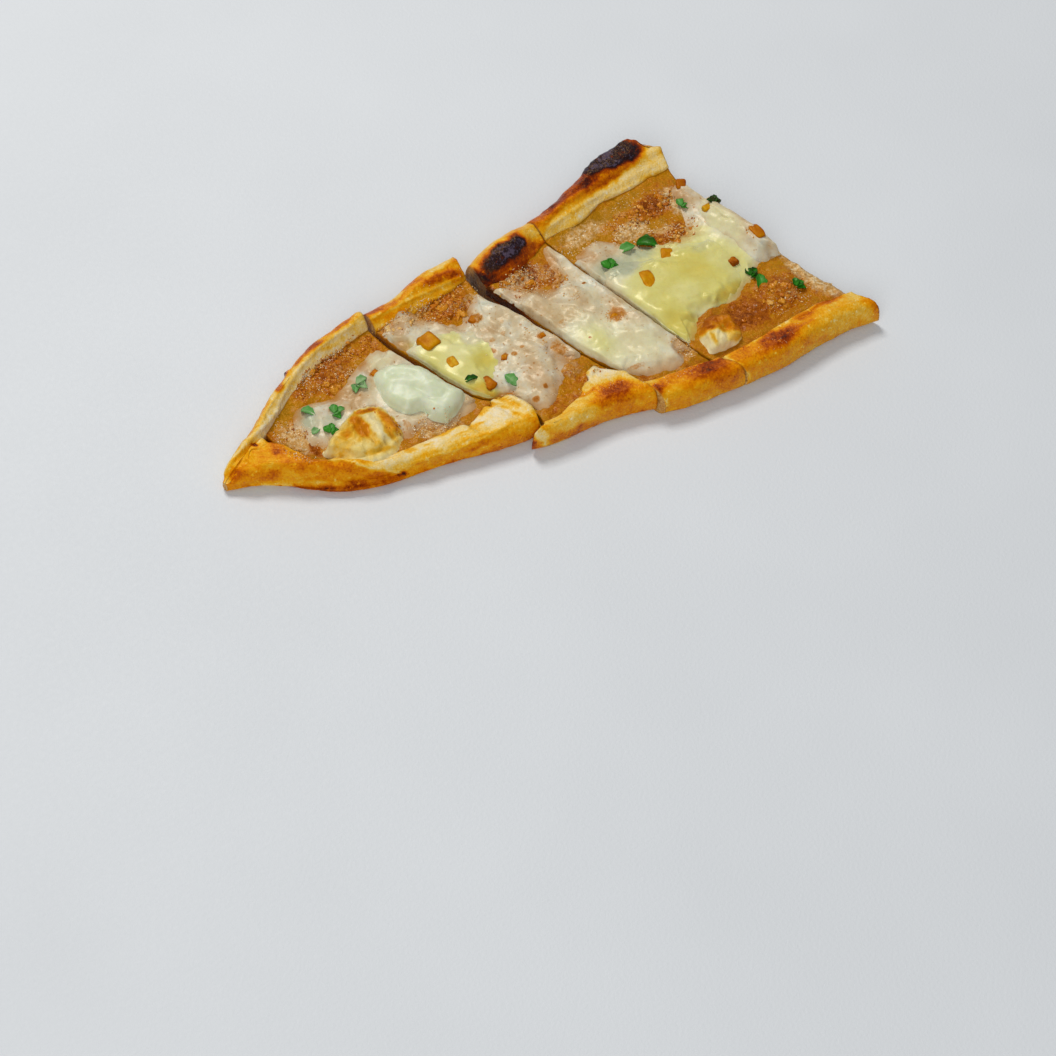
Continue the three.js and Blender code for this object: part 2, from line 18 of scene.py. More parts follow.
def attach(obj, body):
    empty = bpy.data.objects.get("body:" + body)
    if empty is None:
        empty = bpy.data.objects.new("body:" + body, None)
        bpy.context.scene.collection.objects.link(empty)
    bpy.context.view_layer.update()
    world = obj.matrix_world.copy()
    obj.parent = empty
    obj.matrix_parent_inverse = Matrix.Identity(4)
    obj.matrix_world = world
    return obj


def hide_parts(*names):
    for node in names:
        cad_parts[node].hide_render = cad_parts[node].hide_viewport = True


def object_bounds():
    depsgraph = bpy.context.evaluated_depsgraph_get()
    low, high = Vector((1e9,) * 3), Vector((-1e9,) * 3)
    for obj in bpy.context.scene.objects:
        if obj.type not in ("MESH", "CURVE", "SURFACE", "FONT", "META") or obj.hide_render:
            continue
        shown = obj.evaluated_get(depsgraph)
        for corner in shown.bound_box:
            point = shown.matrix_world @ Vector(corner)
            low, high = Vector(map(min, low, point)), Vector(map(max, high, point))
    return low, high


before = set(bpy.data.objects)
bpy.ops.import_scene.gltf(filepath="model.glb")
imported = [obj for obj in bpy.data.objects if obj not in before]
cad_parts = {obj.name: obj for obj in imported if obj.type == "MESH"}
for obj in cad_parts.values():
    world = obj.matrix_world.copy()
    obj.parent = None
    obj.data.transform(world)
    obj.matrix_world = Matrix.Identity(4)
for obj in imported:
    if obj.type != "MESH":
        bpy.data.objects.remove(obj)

log = logging.getLogger("pide")

CAD_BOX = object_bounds()
BODY = "root"
MM = 0.001  # a millimetre, in metres
MIDDLE = np.array([106.85, 1.1964, 0.0])  # middle of the bread's underside
SEEN_LEVEL = 7.0  # painted places are given where they seem to lie at this height
SEEN_LEAN = np.array([0.425, 0.606])  # how far over a point seems to lie for each millimetre above it
TINY = 1e-9  # keeps a divisor above 0

Pair = tuple[float, float]
Points = Sequence[Pair]
Layers = Sequence[Pair]  # noises, each with its grain size in millimetres and its strength
Stops = Sequence[tuple[float, str]]  # a ramp's places, each with its sRGB colour
Value = float | np.ndarray
Tree = bpy.types.NodeTree
Socket = bpy.types.NodeSocket


# ---- Numbers -------------------------------------------------------------------------------------


CELL_HASH = (73856093, 19349663, 83492791)  # these scatter the three indices of a cell
SEED_HASH = 2654435
SCRAMBLES = ((13, 1274126177), (15, 2246822519))  # shifts and factors that mix the bits of a hash
SEED_SHIFT = 7.31  # how far one seed's pattern lies from the next, in grains
NOISE_GAIN = 1.5  # brings the noise to about -1 to 1


def mix(a: Value, b: Value, share: Value) -> Value:
    """Value between a and b, at a share from 0 to 1."""
    return a + (b - a) * share


def step(value: Value, low: float, high: float) -> Value:
    """Smooth step from 0 at low to 1 at high, which may lie below low."""
    t = np.clip((value - low) / (high - low), 0.0, 1.0)
    return t * t * (3 - 2 * t)


def heading(degrees: float) -> Pair:
    """Cosine and sine of an angle in degrees."""
    return math.cos(math.radians(degrees)), math.sin(math.radians(degrees))


def noise(points: np.ndarray, size: float, seed: int) -> np.ndarray:
    """Gradient noise, about -1 to 1.

    Args:
        points: Places, one row of three each.
        size: Width of the noise's grains.
        seed: Chooses the pattern.

    Returns:
        One value a point.
    """
    at = points / size + seed * SEED_SHIFT
    cell = np.floor(at).astype(np.int64)
    part = at - cell
    fade = part**3 * (part * (part * 6 - 15) + 10)
    total = np.zeros(len(points))
    for corner in product((0, 1), repeat=3):
        c = (cell + corner) * CELL_HASH
        h = c[:, 0] ^ c[:, 1] ^ c[:, 2] ^ (seed * SEED_HASH)
        for shift, factor in SCRAMBLES:
            h = ((h ^ (h >> shift)) * factor) & 0xFFFFFFFF
        slope = np.stack([(h >> bits & 1023) / 511.5 - 1 for bits in (0, 10, 20)], 1)
        weight = np.prod(np.where(corner, fade, 1 - fade), axis=1)
        total += weight * np.sum(slope * (part - corner), axis=1)
    return total * NOISE_GAIN


def layered(points: np.ndarray, sizes: Layers, seed: int) -> np.ndarray:
    """Sum of noises.

    Args:
        points: Places.
        sizes: Each noise's grain width and strength.
        seed: Chooses the patterns.

    Returns:
        One value a point.
    """
    return sum(strength * noise(points, size, seed + 11 * i) for i, (size, strength) in enumerate(sizes))


class Curve:
    """Catmull-Rom curve through points, read by its share of the curve's length."""

    STEPS = 200

    def __init__(self, points: Points) -> None:
        """Measures the curve.

        Args:
            points: The points that it passes through.
        """
        self.points = np.array(points, float)
        self.places = np.linspace(0, 1, self.STEPS + 1)
        drawn = self._drawn(self.places)
        self.lengths = np.concatenate([[0], np.cumsum(np.linalg.norm(np.diff(drawn, axis=0), axis=1))])

    def _drawn(self, places: np.ndarray) -> np.ndarray:
        """Points of the curve at its own parameter.

        Args:
            places: Values of the parameter, from 0 to 1.

        Returns:
            One point a value.
        """
        last = len(self.points) - 1
        where = places * last
        at = np.minimum(where.astype(int), last)
        w = (where - at)[..., None]
        p = [self.points[np.clip(at + shift, 0, last)] for shift in (-1, 0, 1, 2)]
        v0, v1 = (p[2] - p[0]) / 2, (p[3] - p[1]) / 2
        cubic, square = 2 * p[1] - 2 * p[2] + v0 + v1, 3 * p[2] - 3 * p[1] - 2 * v0 - v1
        return cubic * w**3 + square * w**2 + v0 * w + p[1]

    def at(self, shares: np.ndarray) -> np.ndarray:
        """Points at shares of the curve's length."""
        return self._drawn(np.interp(np.asarray(shares, float) * self.lengths[-1], self.lengths, self.places))


# ---- Meshes --------------------------------------------------------------------------------------


@dataclass
class Form:
    """Closed mesh in the making.

    Attributes:
        points: Points in millimetres.
        faces: Faces of four corners; a triangle gives its last corner twice.
        marks: Painted qualities, one value a point each.
    """

    points: np.ndarray
    faces: np.ndarray
    marks: dict[str, np.ndarray] = field(default_factory=dict)

    def welded(self) -> "Form":
        """Makes points that coincide one, drops what that closes, and turns the faces out.

        Returns:
            The new form.
        """
        _, first, index = np.unique(np.round(self.points, 3), axis=0, return_index=True, return_inverse=True)
        a, b, c, d = index.reshape(-1)[self.faces].T
        b, c = np.where(a == b, c, b), np.where((a == b) | (b == c), d, c)
        d = np.where(d == a, c, d)
        faces = np.stack([a, b, c, d], 1)[(a != b) & (b != c) & (a != c) & (b != d)]
        made = Form(self.points[first], faces, {name: values[first] for name, values in self.marks.items()})
        if made.volume() < 0:
            three = faces[:, 3:] == faces[:, 2:3]
            made.faces = np.where(three, faces[:, [0, 2, 1, 1]], faces[:, [0, 3, 2, 1]])
        return made

    def volume(self) -> float:
        """Signed volume, above 0 where the faces look out."""
        a, b, c, d = (self.points[self.faces[:, k]] for k in range(4))
        return float(np.sum(a * (np.cross(b, c) + np.cross(c, d))) / 6)

    def normals(self) -> np.ndarray:
        """Outward direction at each point.

        Returns:
            One row of three a point, of length 1.
        """
        a, b, c, d = (self.points[self.faces[:, k]] for k in range(4))
        across = np.cross(c - a, d - b)
        total = np.zeros_like(self.points)
        for k in range(4):
            np.add.at(total, self.faces[:, k], across)
        return total / np.maximum(np.linalg.norm(total, axis=1, keepdims=True), TINY)

    def seen(self) -> np.ndarray:
        """Where each point seems to lie at the height that painted places are given for."""
        return self.points[:, :2] + (self.points[:, 2:] - SEEN_LEVEL) * SEEN_LEAN

    def piece(self, name: str, finish: "Finish", slot: str | None, nodes: Sequence[str]) -> bpy.types.Object:
        """Makes the object, dresses it and sets it on the frame.

        Args:
            name: The piece's name.
            finish: What it is made of.
            slot: The record's material slot, or None; not used.
            nodes: CAD nodes that it stands for.

        Returns:
            The object.
        """
        mesh = bpy.data.meshes.new(name)
        low, high = (np.array(corner) for corner in CAD_BOX)
        points = np.clip((self.points - MIDDLE) * MM, low, high)
        three = self.faces[:, 3] == self.faces[:, 2]
        sizes = np.where(three, 3, 4)
        used = np.ones(self.faces.shape, bool)
        used[:, 3] = ~three
        mesh.vertices.add(len(points))
        mesh.vertices.foreach_set("co", points.astype(np.float32).ravel())
        mesh.loops.add(int(sizes.sum()))
        mesh.loops.foreach_set("vertex_index", self.faces[used].astype(np.int32))
        mesh.polygons.add(len(sizes))
        mesh.polygons.foreach_set("loop_start", np.concatenate([[0], np.cumsum(sizes)[:-1]]).astype(np.int32))
        mesh.polygons.foreach_set("use_smooth", np.ones(len(sizes), bool))
        mesh.update(calc_edges=True)
        mesh.validate()
        for mark, values in self.marks.items():
            mesh.attributes.new(mark, "FLOAT", "POINT").data.foreach_set("value", values.astype(np.float32))
        made = bpy.data.objects.new(name, mesh)
        bpy.context.scene.collection.objects.link(made)
        mesh.materials.append(finish.material())
        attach(made, BODY)
        if nodes:
            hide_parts(*nodes)
        log.info("%s: %d points, %d faces", name, len(points), len(sizes))
        return made


def grid_faces(rows: int, columns: int, start: int, closed: bool = False) -> np.ndarray:
    """Faces of a grid of points.

    Args:
        rows: Rows of points.
        columns: Points in a row.
        start: Index of the first point.
        closed: Whether each row's end joins its beginning.

    Returns:
        Rows of four indices.
    """
    i, k = np.meshgrid(np.arange(rows - 1), np.arange(columns if closed else columns - 1), indexing="ij")
    a, b = start + i * columns + k, start + i * columns + (k + 1) % columns
    return np.stack([a, b, b + columns, a + columns], -1).reshape(-1, 4)


def shell(
    top: Form, top_edge: np.ndarray, low: Form, low_edge: np.ndarray, layers: int, bulge: float = 0.0
) -> Form:
    """Joins a top and an underside with a wall.

    Args:
        top: The top, with marks.
        top_edge: Indices round the top, in the direction of its faces.
        low: The underside, whose faces run the same way round; they are turned over here.
        low_edge: Indices round the underside, in the same order.
        layers: Rows of faces down the wall.
        bulge: How far the middle of the wall stands out.

    Returns:
        The closed form, with the mark "wall" at 1 on the wall and 0 elsewhere.
    """
    count = len(top_edge)
    upper, lower = top.points[top_edge], low.points[low_edge]
    out = np.roll(upper, -1, 0) - np.roll(upper, 1, 0)
    out = np.stack([out[:, 1], -out[:, 0], np.zeros(count)], 1)
    out /= np.maximum(np.linalg.norm(out, axis=1, keepdims=True), TINY)
    shares = np.arange(1, layers) / layers
    between = [mix(upper, lower, s) + out * bulge * math.sin(math.pi * s) for s in shares]
    points = np.concatenate([top.points, low.points, *between])
    start = len(top.points)
    rings = [top_edge, *(start + len(low.points) + count * j + np.arange(count) for j in range(layers - 1))]
    rings.append(start + low_edge)
    walls = [np.stack([np.roll(a, -1), a, b, np.roll(b, -1)], 1) for a, b in zip(rings, rings[1:])]
    faces = np.concatenate([top.faces, start + low.faces[:, ::-1], *walls])
    marks = {"wall": np.concatenate([np.zeros(start + len(low.points)), np.ones(count * (layers - 1))])}
    for name, values in top.marks.items():
        under = np.full(len(low.points), values.mean())
        under[low_edge] = values[top_edge]
        marks[name] = np.concatenate([values, under, np.tile(values[top_edge], layers - 1)])
    return Form(points, faces, marks).welded()


def slab(
    upper: np.ndarray, lower: np.ndarray, layers: int, marks: dict[str, np.ndarray], bulge: float = 0.0
) -> Form:
    """Closed form between two grids of points.

    Args:
        upper: Top points, by row and column.
        lower: Points of the underside, likewise.
        layers: Rows of faces down the wall.
        marks: Painted qualities of the top.
        bulge: How far the wall's middle stands out.

    Returns:
        The form.
    """
    rows, columns = upper.shape[:2]
    index = np.arange(rows * columns).reshape(rows, columns)
    edge = np.concatenate([index[0, :-1], index[:-1, -1], index[-1, :0:-1], index[:0:-1, 0]])
    faces = grid_faces(rows, columns, 0)
    top = Form(upper.reshape(-1, 3), faces, {name: values.reshape(-1) for name, values in marks.items()})
    return shell(top, edge, Form(lower.reshape(-1, 3), faces), edge, layers, bulge)


# ---- Painting ------------------------------------------------------------------------------------

RAGS = ((7, 1.3), (2.4, 0.7), (1.0, 0.3))  # noises that push the edge of what is painted


@dataclass(frozen=True)
class Spot:
    """Ragged oval patch.

    Attributes:
        x: Seen place along the bread.
        y: Seen place across it.
        long: Half its length.
        wide: Half its width.
        turn: Turn in degrees.
        value: What a painted quality becomes in it.
        lift: How far the surface rises in it.
        soft: Share of its size over which it fades out.
    """

    x: float
    y: float
    long: float
    wide: float
    turn: float = 0.0
    value: float = 1.0
    lift: float = 0.0
    soft: float = 0.5

    def cover(self, seen: np.ndarray) -> np.ndarray:
        """How far the spot covers places.

        Args:
            seen: The seen places.

        Returns:
            A share from 0 to 1 for each.
        """
        c, s = heading(self.turn)
        dx, dy = seen[:, 0] - self.x, seen[:, 1] - self.y
        reach = np.hypot((dx * c + dy * s) / self.long, (dy * c - dx * s) / self.wide)
        return step(reach, 1 + self.soft, 1 - self.soft)


@dataclass(frozen=True)
class Fold:
    """Ridge or groove along a line.

    Attributes:
        points: Seen points of the line.
        width: Half its width.
        value: What a painted quality becomes along it.
        strength: How much of that shows.
        lift: Height of the ridge, below 0 for a groove.
    """

    points: Points
    width: float
    value: float = 0.0
    strength: float = 0.0
    lift: float = 0.0

    STEPS = 24  # points of its line
    REACH = 3  # in widths, beyond which it leaves nothing

    def cover(self, seen: np.ndarray) -> np.ndarray:
        """How far the fold covers places.

        Args:
            seen: The seen places.

        Returns:
            A share from 0 to 1 for each.
        """
        line = Curve(self.points).at(np.linspace(0, 1, self.STEPS))
        low, high = line.min(0) - self.REACH * self.width, line.max(0) + self.REACH * self.width
        near = np.all((seen > low) & (seen < high), axis=1)
        cover = np.zeros(len(seen))
        if near.any():
            at = seen[near][:, None]
            a, b = line[None, :-1], line[None, 1:]
            share = np.clip(np.sum((at - a) * (b - a), -1) / np.maximum(np.sum((b - a) ** 2, -1), TINY), 0, 1)
            away = np.linalg.norm(at - mix(a, b, share[..., None]), axis=-1).min(1)
            cover[near] = np.exp(-((away / self.width) ** 2))
        return cover


def ragged(points: np.ndarray, seen: np.ndarray, seed: int, amount: float = 1.0) -> np.ndarray:
    """Seen places pushed about, so that what is painted there gets ragged edges.

    Args:
        points: The points themselves.
        seen: Their seen places.
        seed: Chooses the pattern.
        amount: How far they are pushed.

    Returns:
        The pushed places.
    """
    push = [layered(points, RAGS, seed + 100 * k) for k in (0, 1)]
    return seen + amount * np.stack(push, 1)


def painted(base: np.ndarray, seen: np.ndarray, marks: Sequence[Spot | Fold]) -> np.ndarray:
    """Values with spots and folds painted on them.

    Args:
        base: Values before.
        seen: Seen places.
        marks: What is painted, in order.

    Returns:
        Values after.
    """
    value = base.copy()
    for mark in marks:
        strength = mark.strength if isinstance(mark, Fold) else 1.0
        value = mix(value, mark.value, strength * mark.cover(seen))
    return value


def lifted(seen: np.ndarray, marks: Sequence[Spot | Fold]) -> np.ndarray:
    """Height that spots and folds add at seen places."""
    return sum((mark.lift * mark.cover(seen) for mark in marks if mark.lift), np.zeros(len(seen)))


# ---- Finishes ------------------------------------------------------------------------------------

NOISE_ROUGHNESS = 0.55  # how much the finer octaves of a material's noise show
BLEND = {"data_type": "RGBA"}  # a mix of colours takes them at sockets 6 and 7 and gives them at output 2


def colour(text: str) -> tuple[float, float, float, float]:
    """Linear colour from an sRGB hex value."""
    parts = [int(text[i : i + 2], 16) / 255 for i in (0, 2, 4)]
    return (*(p / 12.92 if p <= 0.04045 else ((p + 0.055) / 1.055) ** 2.4 for p in parts), 1.0)


def add(
    tree: Tree,
    kind: str,
    settings: dict | None = None,
    links: dict[int | str, Socket] | None = None,
    output: int | str = 0,
) -> Socket | None:
    """Adds a node.

    Args:
        tree: The tree that it goes into.
        kind: Its type, after "ShaderNode".
        settings: Its own settings, ramp "stops", and values of its sockets, by name or number.
        links: Sockets that feed its sockets, by name or number.
        output: Which of its outputs is wanted.

    Returns:
        That output, or None if it has none.
    """
    made = tree.nodes.new("ShaderNode" + kind)
    for name, value in (settings or {}).items():
        if name == "stops":
            ramp = made.color_ramp
            while len(ramp.elements) < len(value):
                ramp.elements.new(1.0)
            for element, (place, tint) in zip(ramp.elements, value):
                element.position, element.color = place, colour(tint)
        elif isinstance(name, str) and name not in made.inputs and hasattr(made, name):
            setattr(made, name, value)
        else:
            made.inputs[name].default_value = colour(value) if isinstance(value, str) else value
    for name, source in (links or {}).items():
        tree.links.new(source, made.inputs[name])
    return made.outputs[output] if made.outputs else None


def grain(tree: Tree, size: float, detail: float = 3.0) -> Socket:
    """Noise with grains of a size.

    Args:
        tree: The material's tree.
        size: The grains' width in millimetres.
        detail: How many finer octaves are added.

    Returns:
        The socket of its value, from 0 to 1.
    """
    place = add(tree, "TexCoord", output="Object")
    settings = {"Scale": 1 / (size * MM), "Detail": detail, "Roughness": NOISE_ROUGHNESS}
    return add(tree, "TexNoise", settings, {"Vector": place})


def varied(tree: Tree, base: Socket | str, parts: Layers) -> Socket:
    """A value with noise added to it.

    Args:
        tree: The material's tree.
        base: The value, or the name of the mesh's mark that gives it.
        parts: The noises.

    Returns:
        The socket that gives the sum.
    """
    if isinstance(base, str):
        base = add(tree, "Attribute", {"attribute_name": base}, output="Fac")
    for size, strength in parts:
        settings = {"operation": "MULTIPLY_ADD", 1: strength, 2: -0.5 * strength}
        centred = add(tree, "Math", settings, {0: grain(tree, size)})
        base = add(tree, "Math", {"operation": "ADD"}, {0: base, 1: centred})
    return base


def bumped(tree: Tree, parts: Layers) -> Socket:
    """Fine relief.

    Args:
        tree: The material's tree.
        parts: Its noises, whose strengths are heights in millimetres.

    Returns:
        The socket of the normal.
    """
    normal = None
    for size, height in parts:
        links = {"Height": grain(tree, size, 2.0), **({"Normal": normal} if normal else {})}
        normal = add(tree, "Bump", {"Strength": 1.0, "Distance": height * MM}, links)
    return normal


@dataclass(frozen=True)
class Finish:
    """What a piece is made of.

    Attributes:
        name: The material's name.
        roughness: How matte it is.
        scatter: How much light goes into it.
        depth: How far that light goes, in millimetres.
        coat: How wet it is.
        shiny: Strength of its plain reflection, where 0.5 is common.
        relief: Grain sizes and heights of its fine relief, in millimetres.
        sheen: Colour of its plain reflection.
    """

    name: str
    roughness: float = 0.5
    scatter: float = 0.0
    depth: float = 1.0
    coat: float = 0.0
    shiny: float = 0.5
    relief: Layers = ((1.0, 0.1),)
    sheen: str = "FFFFFF"

    UNEVEN = 0.12  # how far the roughness strays
    SMEARS = 1.6  # width of the smears that it strays in, in millimetres

    def base(self, tree: Tree) -> Socket:
        """Colour over the surface."""
        raise NotImplementedError

    def shine(self, tree: Tree) -> Socket:
        """Roughness over the surface."""
        about = {3: self.roughness - self.UNEVEN, 4: self.roughness + self.UNEVEN}
        return add(tree, "MapRange", about, {0: grain(tree, self.SMEARS)})

    def material(self) -> bpy.types.Material:
        """Makes the material, or finds it if it has been made.

        Returns:
            The material.
        """
        found = bpy.data.materials.get(self.name)
        if found:
            return found
        made = bpy.data.materials.new(self.name)
        made.use_nodes = True
        tree = made.node_tree
        tree.nodes.clear()
        settings = {
            "IOR": 1.45,
            "Subsurface Weight": self.scatter,
            "Subsurface Scale": self.depth * MM,
            "Subsurface Radius": (1.0, 0.75, 0.45),
            "Coat Weight": self.coat,
            "Coat Roughness": 0.16,
            "Specular IOR Level": self.shiny,
            "Specular Tint": self.sheen,
        }
        links = {
            "Base Color": self.base(tree),
            "Roughness": self.shine(tree),
            "Normal": bumped(tree, self.relief),
        }
        shader = add(tree, "BsdfPrincipled", settings, links)
        add(tree, "OutputMaterial", None, {"Surface": shader})
        return made


class BakedDough(Finish):
    """Wheat dough baked on hot stone: floury cream where it lay covered, golden where it met the heat, and
    black and glossy where it blistered. The mark "bake" runs from raw to burnt, and "cut" is torn crumb."""

    STOPS = (
        (0.0, "E9DCBC"), (0.12, "ECD08A"), (0.24, "E9BC4C"), (0.34, "E5A414"), (0.46, "DC8600"),
        (0.57, "C26200"), (0.67, "9C3C04"), (0.77, "66200C"), (0.86, "2A1018"), (0.94, "150D1A"),
        # the last stop paints pale grey-purple specks into the blackest char: partly ash, partly painted
        # glints on its blisters
        (1.0, "4C4256"),
    )
    CRUMB = ((0.3, "8C5A24"), (0.45, "BE8A42"), (0.7, "DEBA78"))
    PATCHES = ((8, 0.2), (3.2, 0.3), (1.2, 0.24), (0.6, 0.14))
    TOASTED, FLOURY = 0.7, 1.7  # widths of its specks in millimetres
    GLOSS = 0.26  # roughness where it is burnt

    def base(self, tree: Tree) -> Socket:
        """Colour over the surface, with toasted specks and a dusting of flour.

        Args:
            tree: The material's tree.

        Returns:
            The colour's socket.
        """
        bake = varied(tree, "bake", self.PATCHES)
        toasted = add(tree, "MapRange", {1: 0.62, 2: 0.72, 4: 0.14}, {0: grain(tree, self.TOASTED)})
        floury = add(tree, "MapRange", {1: 0.62, 2: 0.7, 4: -0.16}, {0: grain(tree, self.FLOURY)})
        for extra in (toasted, floury):
            bake = add(tree, "Math", {"operation": "ADD"}, {0: bake, 1: extra})
        crumb = add(tree, "ValToRGB", {"stops": self.CRUMB}, {0: grain(tree, 0.9)})
        # Crumb turns near black where the bake mark is high: burnt crumb, and painted shade on cut faces
        # where spots darken the gaps between slices
        burnt_crumb_and_shade = add(tree, "MapRange", {1: 0.5, 2: 0.8, 4: 0.85}, {0: bake})
        crumb = add(tree, "Mix", {**BLEND, 7: "3A1A0A"}, {0: burnt_crumb_and_shade, 6: crumb}, 2)
        cut = varied(tree, "cut", ())
        skin = add(tree, "ValToRGB", {"stops": self.STOPS}, {0: bake})
        return add(tree, "Mix", BLEND, {0: cut, 6: skin, 7: crumb}, 2)

    def shine(self, tree: Tree) -> Socket:
        """Roughness: matte where pale, and glossy where burnt."""
        settings = {1: 0.2, 2: 1.0, 3: self.roughness, 4: self.GLOSS}
        return add(tree, "MapRange", settings, {0: varied(tree, "bake", [(1.2, 0.3)])})


class StewedFilling(Finish):
    """Onion and minced meat stewed in tomato and butter: a clear amber sauce with brown grains in it. The
    mark "meat" is 0 in the sauce and 1 in the mince, and "pale" is onion and cheese worked into it."""

    STOPS = (
        (0.0, "9C6C04"), (0.16, "AE7606"), (0.34, "B06C08"), (0.5, "9C5006"), (0.68, "763404"),
        (0.9, "3E1804"),
    )
    ONION = ((0.3, "A87634"), (0.48, "CCA468"), (0.65, "E0CCA4"))
    MEAT_PATCHES = ((7.0, 0.34), (2.6, 0.5), (1.1, 0.5), (0.5, 0.34))
    PALE_PATCHES = ((3.2, 0.4), (1.4, 0.7), (0.6, 0.6))

    def base(self, tree: Tree) -> Socket:
        """Colour over the surface.

        Args:
            tree: The material's tree.

        Returns:
            The colour's socket.
        """
        meat = varied(tree, "meat", self.MEAT_PATCHES)
        pale = varied(tree, "pale", self.PALE_PATCHES)
        pale = add(tree, "MapRange", {1: 0.28, 2: 0.8}, {0: pale})
        light = add(tree, "ValToRGB", {"stops": self.ONION}, {0: grain(tree, 1.1)})
        stew = add(tree, "ValToRGB", {"stops": self.STOPS}, {0: meat})
        return add(tree, "Mix", BLEND, {0: pale, 6: stew, 7: light}, 2)


class MeltedCheese(Finish):
    """White cheese melted to a sheet: greyish white over the mince, and yellow where it pooled. The marks are
    "yellow", which is cream from a half and deep yellow at 1, "clear", where it is glassy and takes a grey
    green, "thin", where what is under it shows through, and "scorch", from white to brown."""

    WHITE = (
        (0.26, "B89A70"), (0.36, "C8B08A"), (0.47, "CEBC9A"), (0.56, "D4C9AE"), (0.66, "D6D2BE"),
        (0.78, "CACCB8"),
    )
    YELLOW = ((0.4, "DCD8AE"), (0.62, "D8D28E"), (0.8, "D2C870"), (0.92, "CEBC56"), (1.0, "D2B040"))
    BURNT = ((0.0, "D8BC88"), (0.35, "C6924A"), (0.65, "AC6A1E"), (1.0, "6B3410"))
    CLOUDS = ((4.0, 0.3), (1.6, 0.16), (0.6, 0.12))
    VEILS = (("clear", ((2.4, 0.2),), "A6AC90"), ("thin", ((2.2, 0.35), (0.7, 0.25)), "B0762C"))

    def base(self, tree: Tree) -> Socket:
        """Colour over the surface, with brown specks where it is white.

        Args:
            tree: The material's tree.

        Returns:
            The colour's socket.
        """
        cloudy = varied(tree, grain(tree, 9.0, 3), self.CLOUDS)
        white = add(tree, "ValToRGB", {"stops": self.WHITE}, {0: cloudy})
        specks = add(tree, "MapRange", {1: 0.66, 2: 0.74, 4: 0.75}, {0: grain(tree, 1.3, 1)})
        white = add(tree, "Mix", {**BLEND, 7: "AC7230"}, {0: specks, 6: white}, 2)
        mark = varied(tree, "yellow", ((6.0, 0.2), (1.8, 0.08)))
        share = add(tree, "MapRange", {1: 0.1, 2: 0.55}, {0: mark})
        yellow = add(tree, "ValToRGB", {"stops": self.YELLOW}, {0: mark})
        body = add(tree, "Mix", BLEND, {0: share, 6: white, 7: yellow}, 2)
        for name, parts, tint in self.VEILS:
            body = add(tree, "Mix", {**BLEND, 7: tint}, {0: varied(tree, name, parts), 6: body}, 2)
        mark = varied(tree, "scorch", ((1.4, 0.4), (0.6, 0.4)))
        burnt = add(tree, "ValToRGB", {"stops": self.BURNT}, {0: mark})
        share = add(tree, "MapRange", {1: 0.3, 2: 0.56}, {0: mark})
        return add(tree, "Mix", BLEND, {0: share, 6: body, 7: burnt}, 2)


class SoftCheese(Finish):
    """Lump of soft white cheese, curdled and moist, which takes a green tint where it is thick. The mark
    "scorch" leads to tan."""

    STOPS = ((0.3, "CAD2AC"), (0.5, "D2D8B8"), (0.75, "DCE0C8"))

    def base(self, tree: Tree) -> Socket:
        """Colour over the surface."""
        body = add(tree, "ValToRGB", {"stops": self.STOPS}, {0: grain(tree, 4.0, 2)})
        return add(tree, "Mix", {**BLEND, 7: "C9A566"}, {0: varied(tree, "scorch", [(0.8, 0.1)]), 6: body}, 2)


class Toned(Finish):
    """What takes its colour from one mark through one ramp, unevenly."""

    MARK = "tone"
    PATCHES: Layers = ()
    STOPS: Stops = ()

    def base(self, tree: Tree) -> Socket:
        """Colour over the surface."""
        return add(tree, "ValToRGB", {"stops": self.STOPS}, {0: varied(tree, self.MARK, self.PATCHES)})


class BakedCheese(Toned):
    """Cheese that dried and browned in folds: creamy, with golden to orange patches. The mark "scorch" runs
    from cream to brown."""

    MARK = "scorch"
    PATCHES = ((5, 0.24), (1.8, 0.24), (0.7, 0.16))
    STOPS = (
        (0.0, "E6DAAE"), (0.2, "E2C878"), (0.36, "D8A62C"), (0.52, "CC7C00"), (0.72, "A45200"),
        (1.0, "622A04"),
    )


class Crumbs(Toned):
    """Grains of mince, onion and crisped cheese, fried in their own fat: white to dark brown; the palest
    stand partly for painted glints.
    """

    PATCHES = ((0.7, 0.3),)
    STOPS = (
        (0.0, "F2E6CE"), (0.2, "E0BE7E"), (0.4, "D08E20"), (0.6, "BC6A04"), (0.8, "904204"), (1.0, "441C04"),
    )


class Herb(Toned):
    """Parsley leaf, wilted and glossy, from pale green to dark."""

    PATCHES = ((2.0, 0.4), (0.8, 0.3))
    STOPS = (
        (0.0, "9CB486"), (0.22, "6C9E5C"), (0.45, "3C8A28"), (0.66, "1E6A06"), (0.85, "1C4408"),
        (1.0, "2A2E0C"),
    )


class Pepper(Toned):
    """Diced pepper and carrot, cooked clear, from yellow to deep orange."""

    PATCHES = ((1.5, 0.3), (0.5, 0.2))
    STOPS = ((0.0, "CCAC26"), (0.3, "C08000"), (0.6, "AC6000"), (0.85, "904400"), (1.0, "6A2E00"))


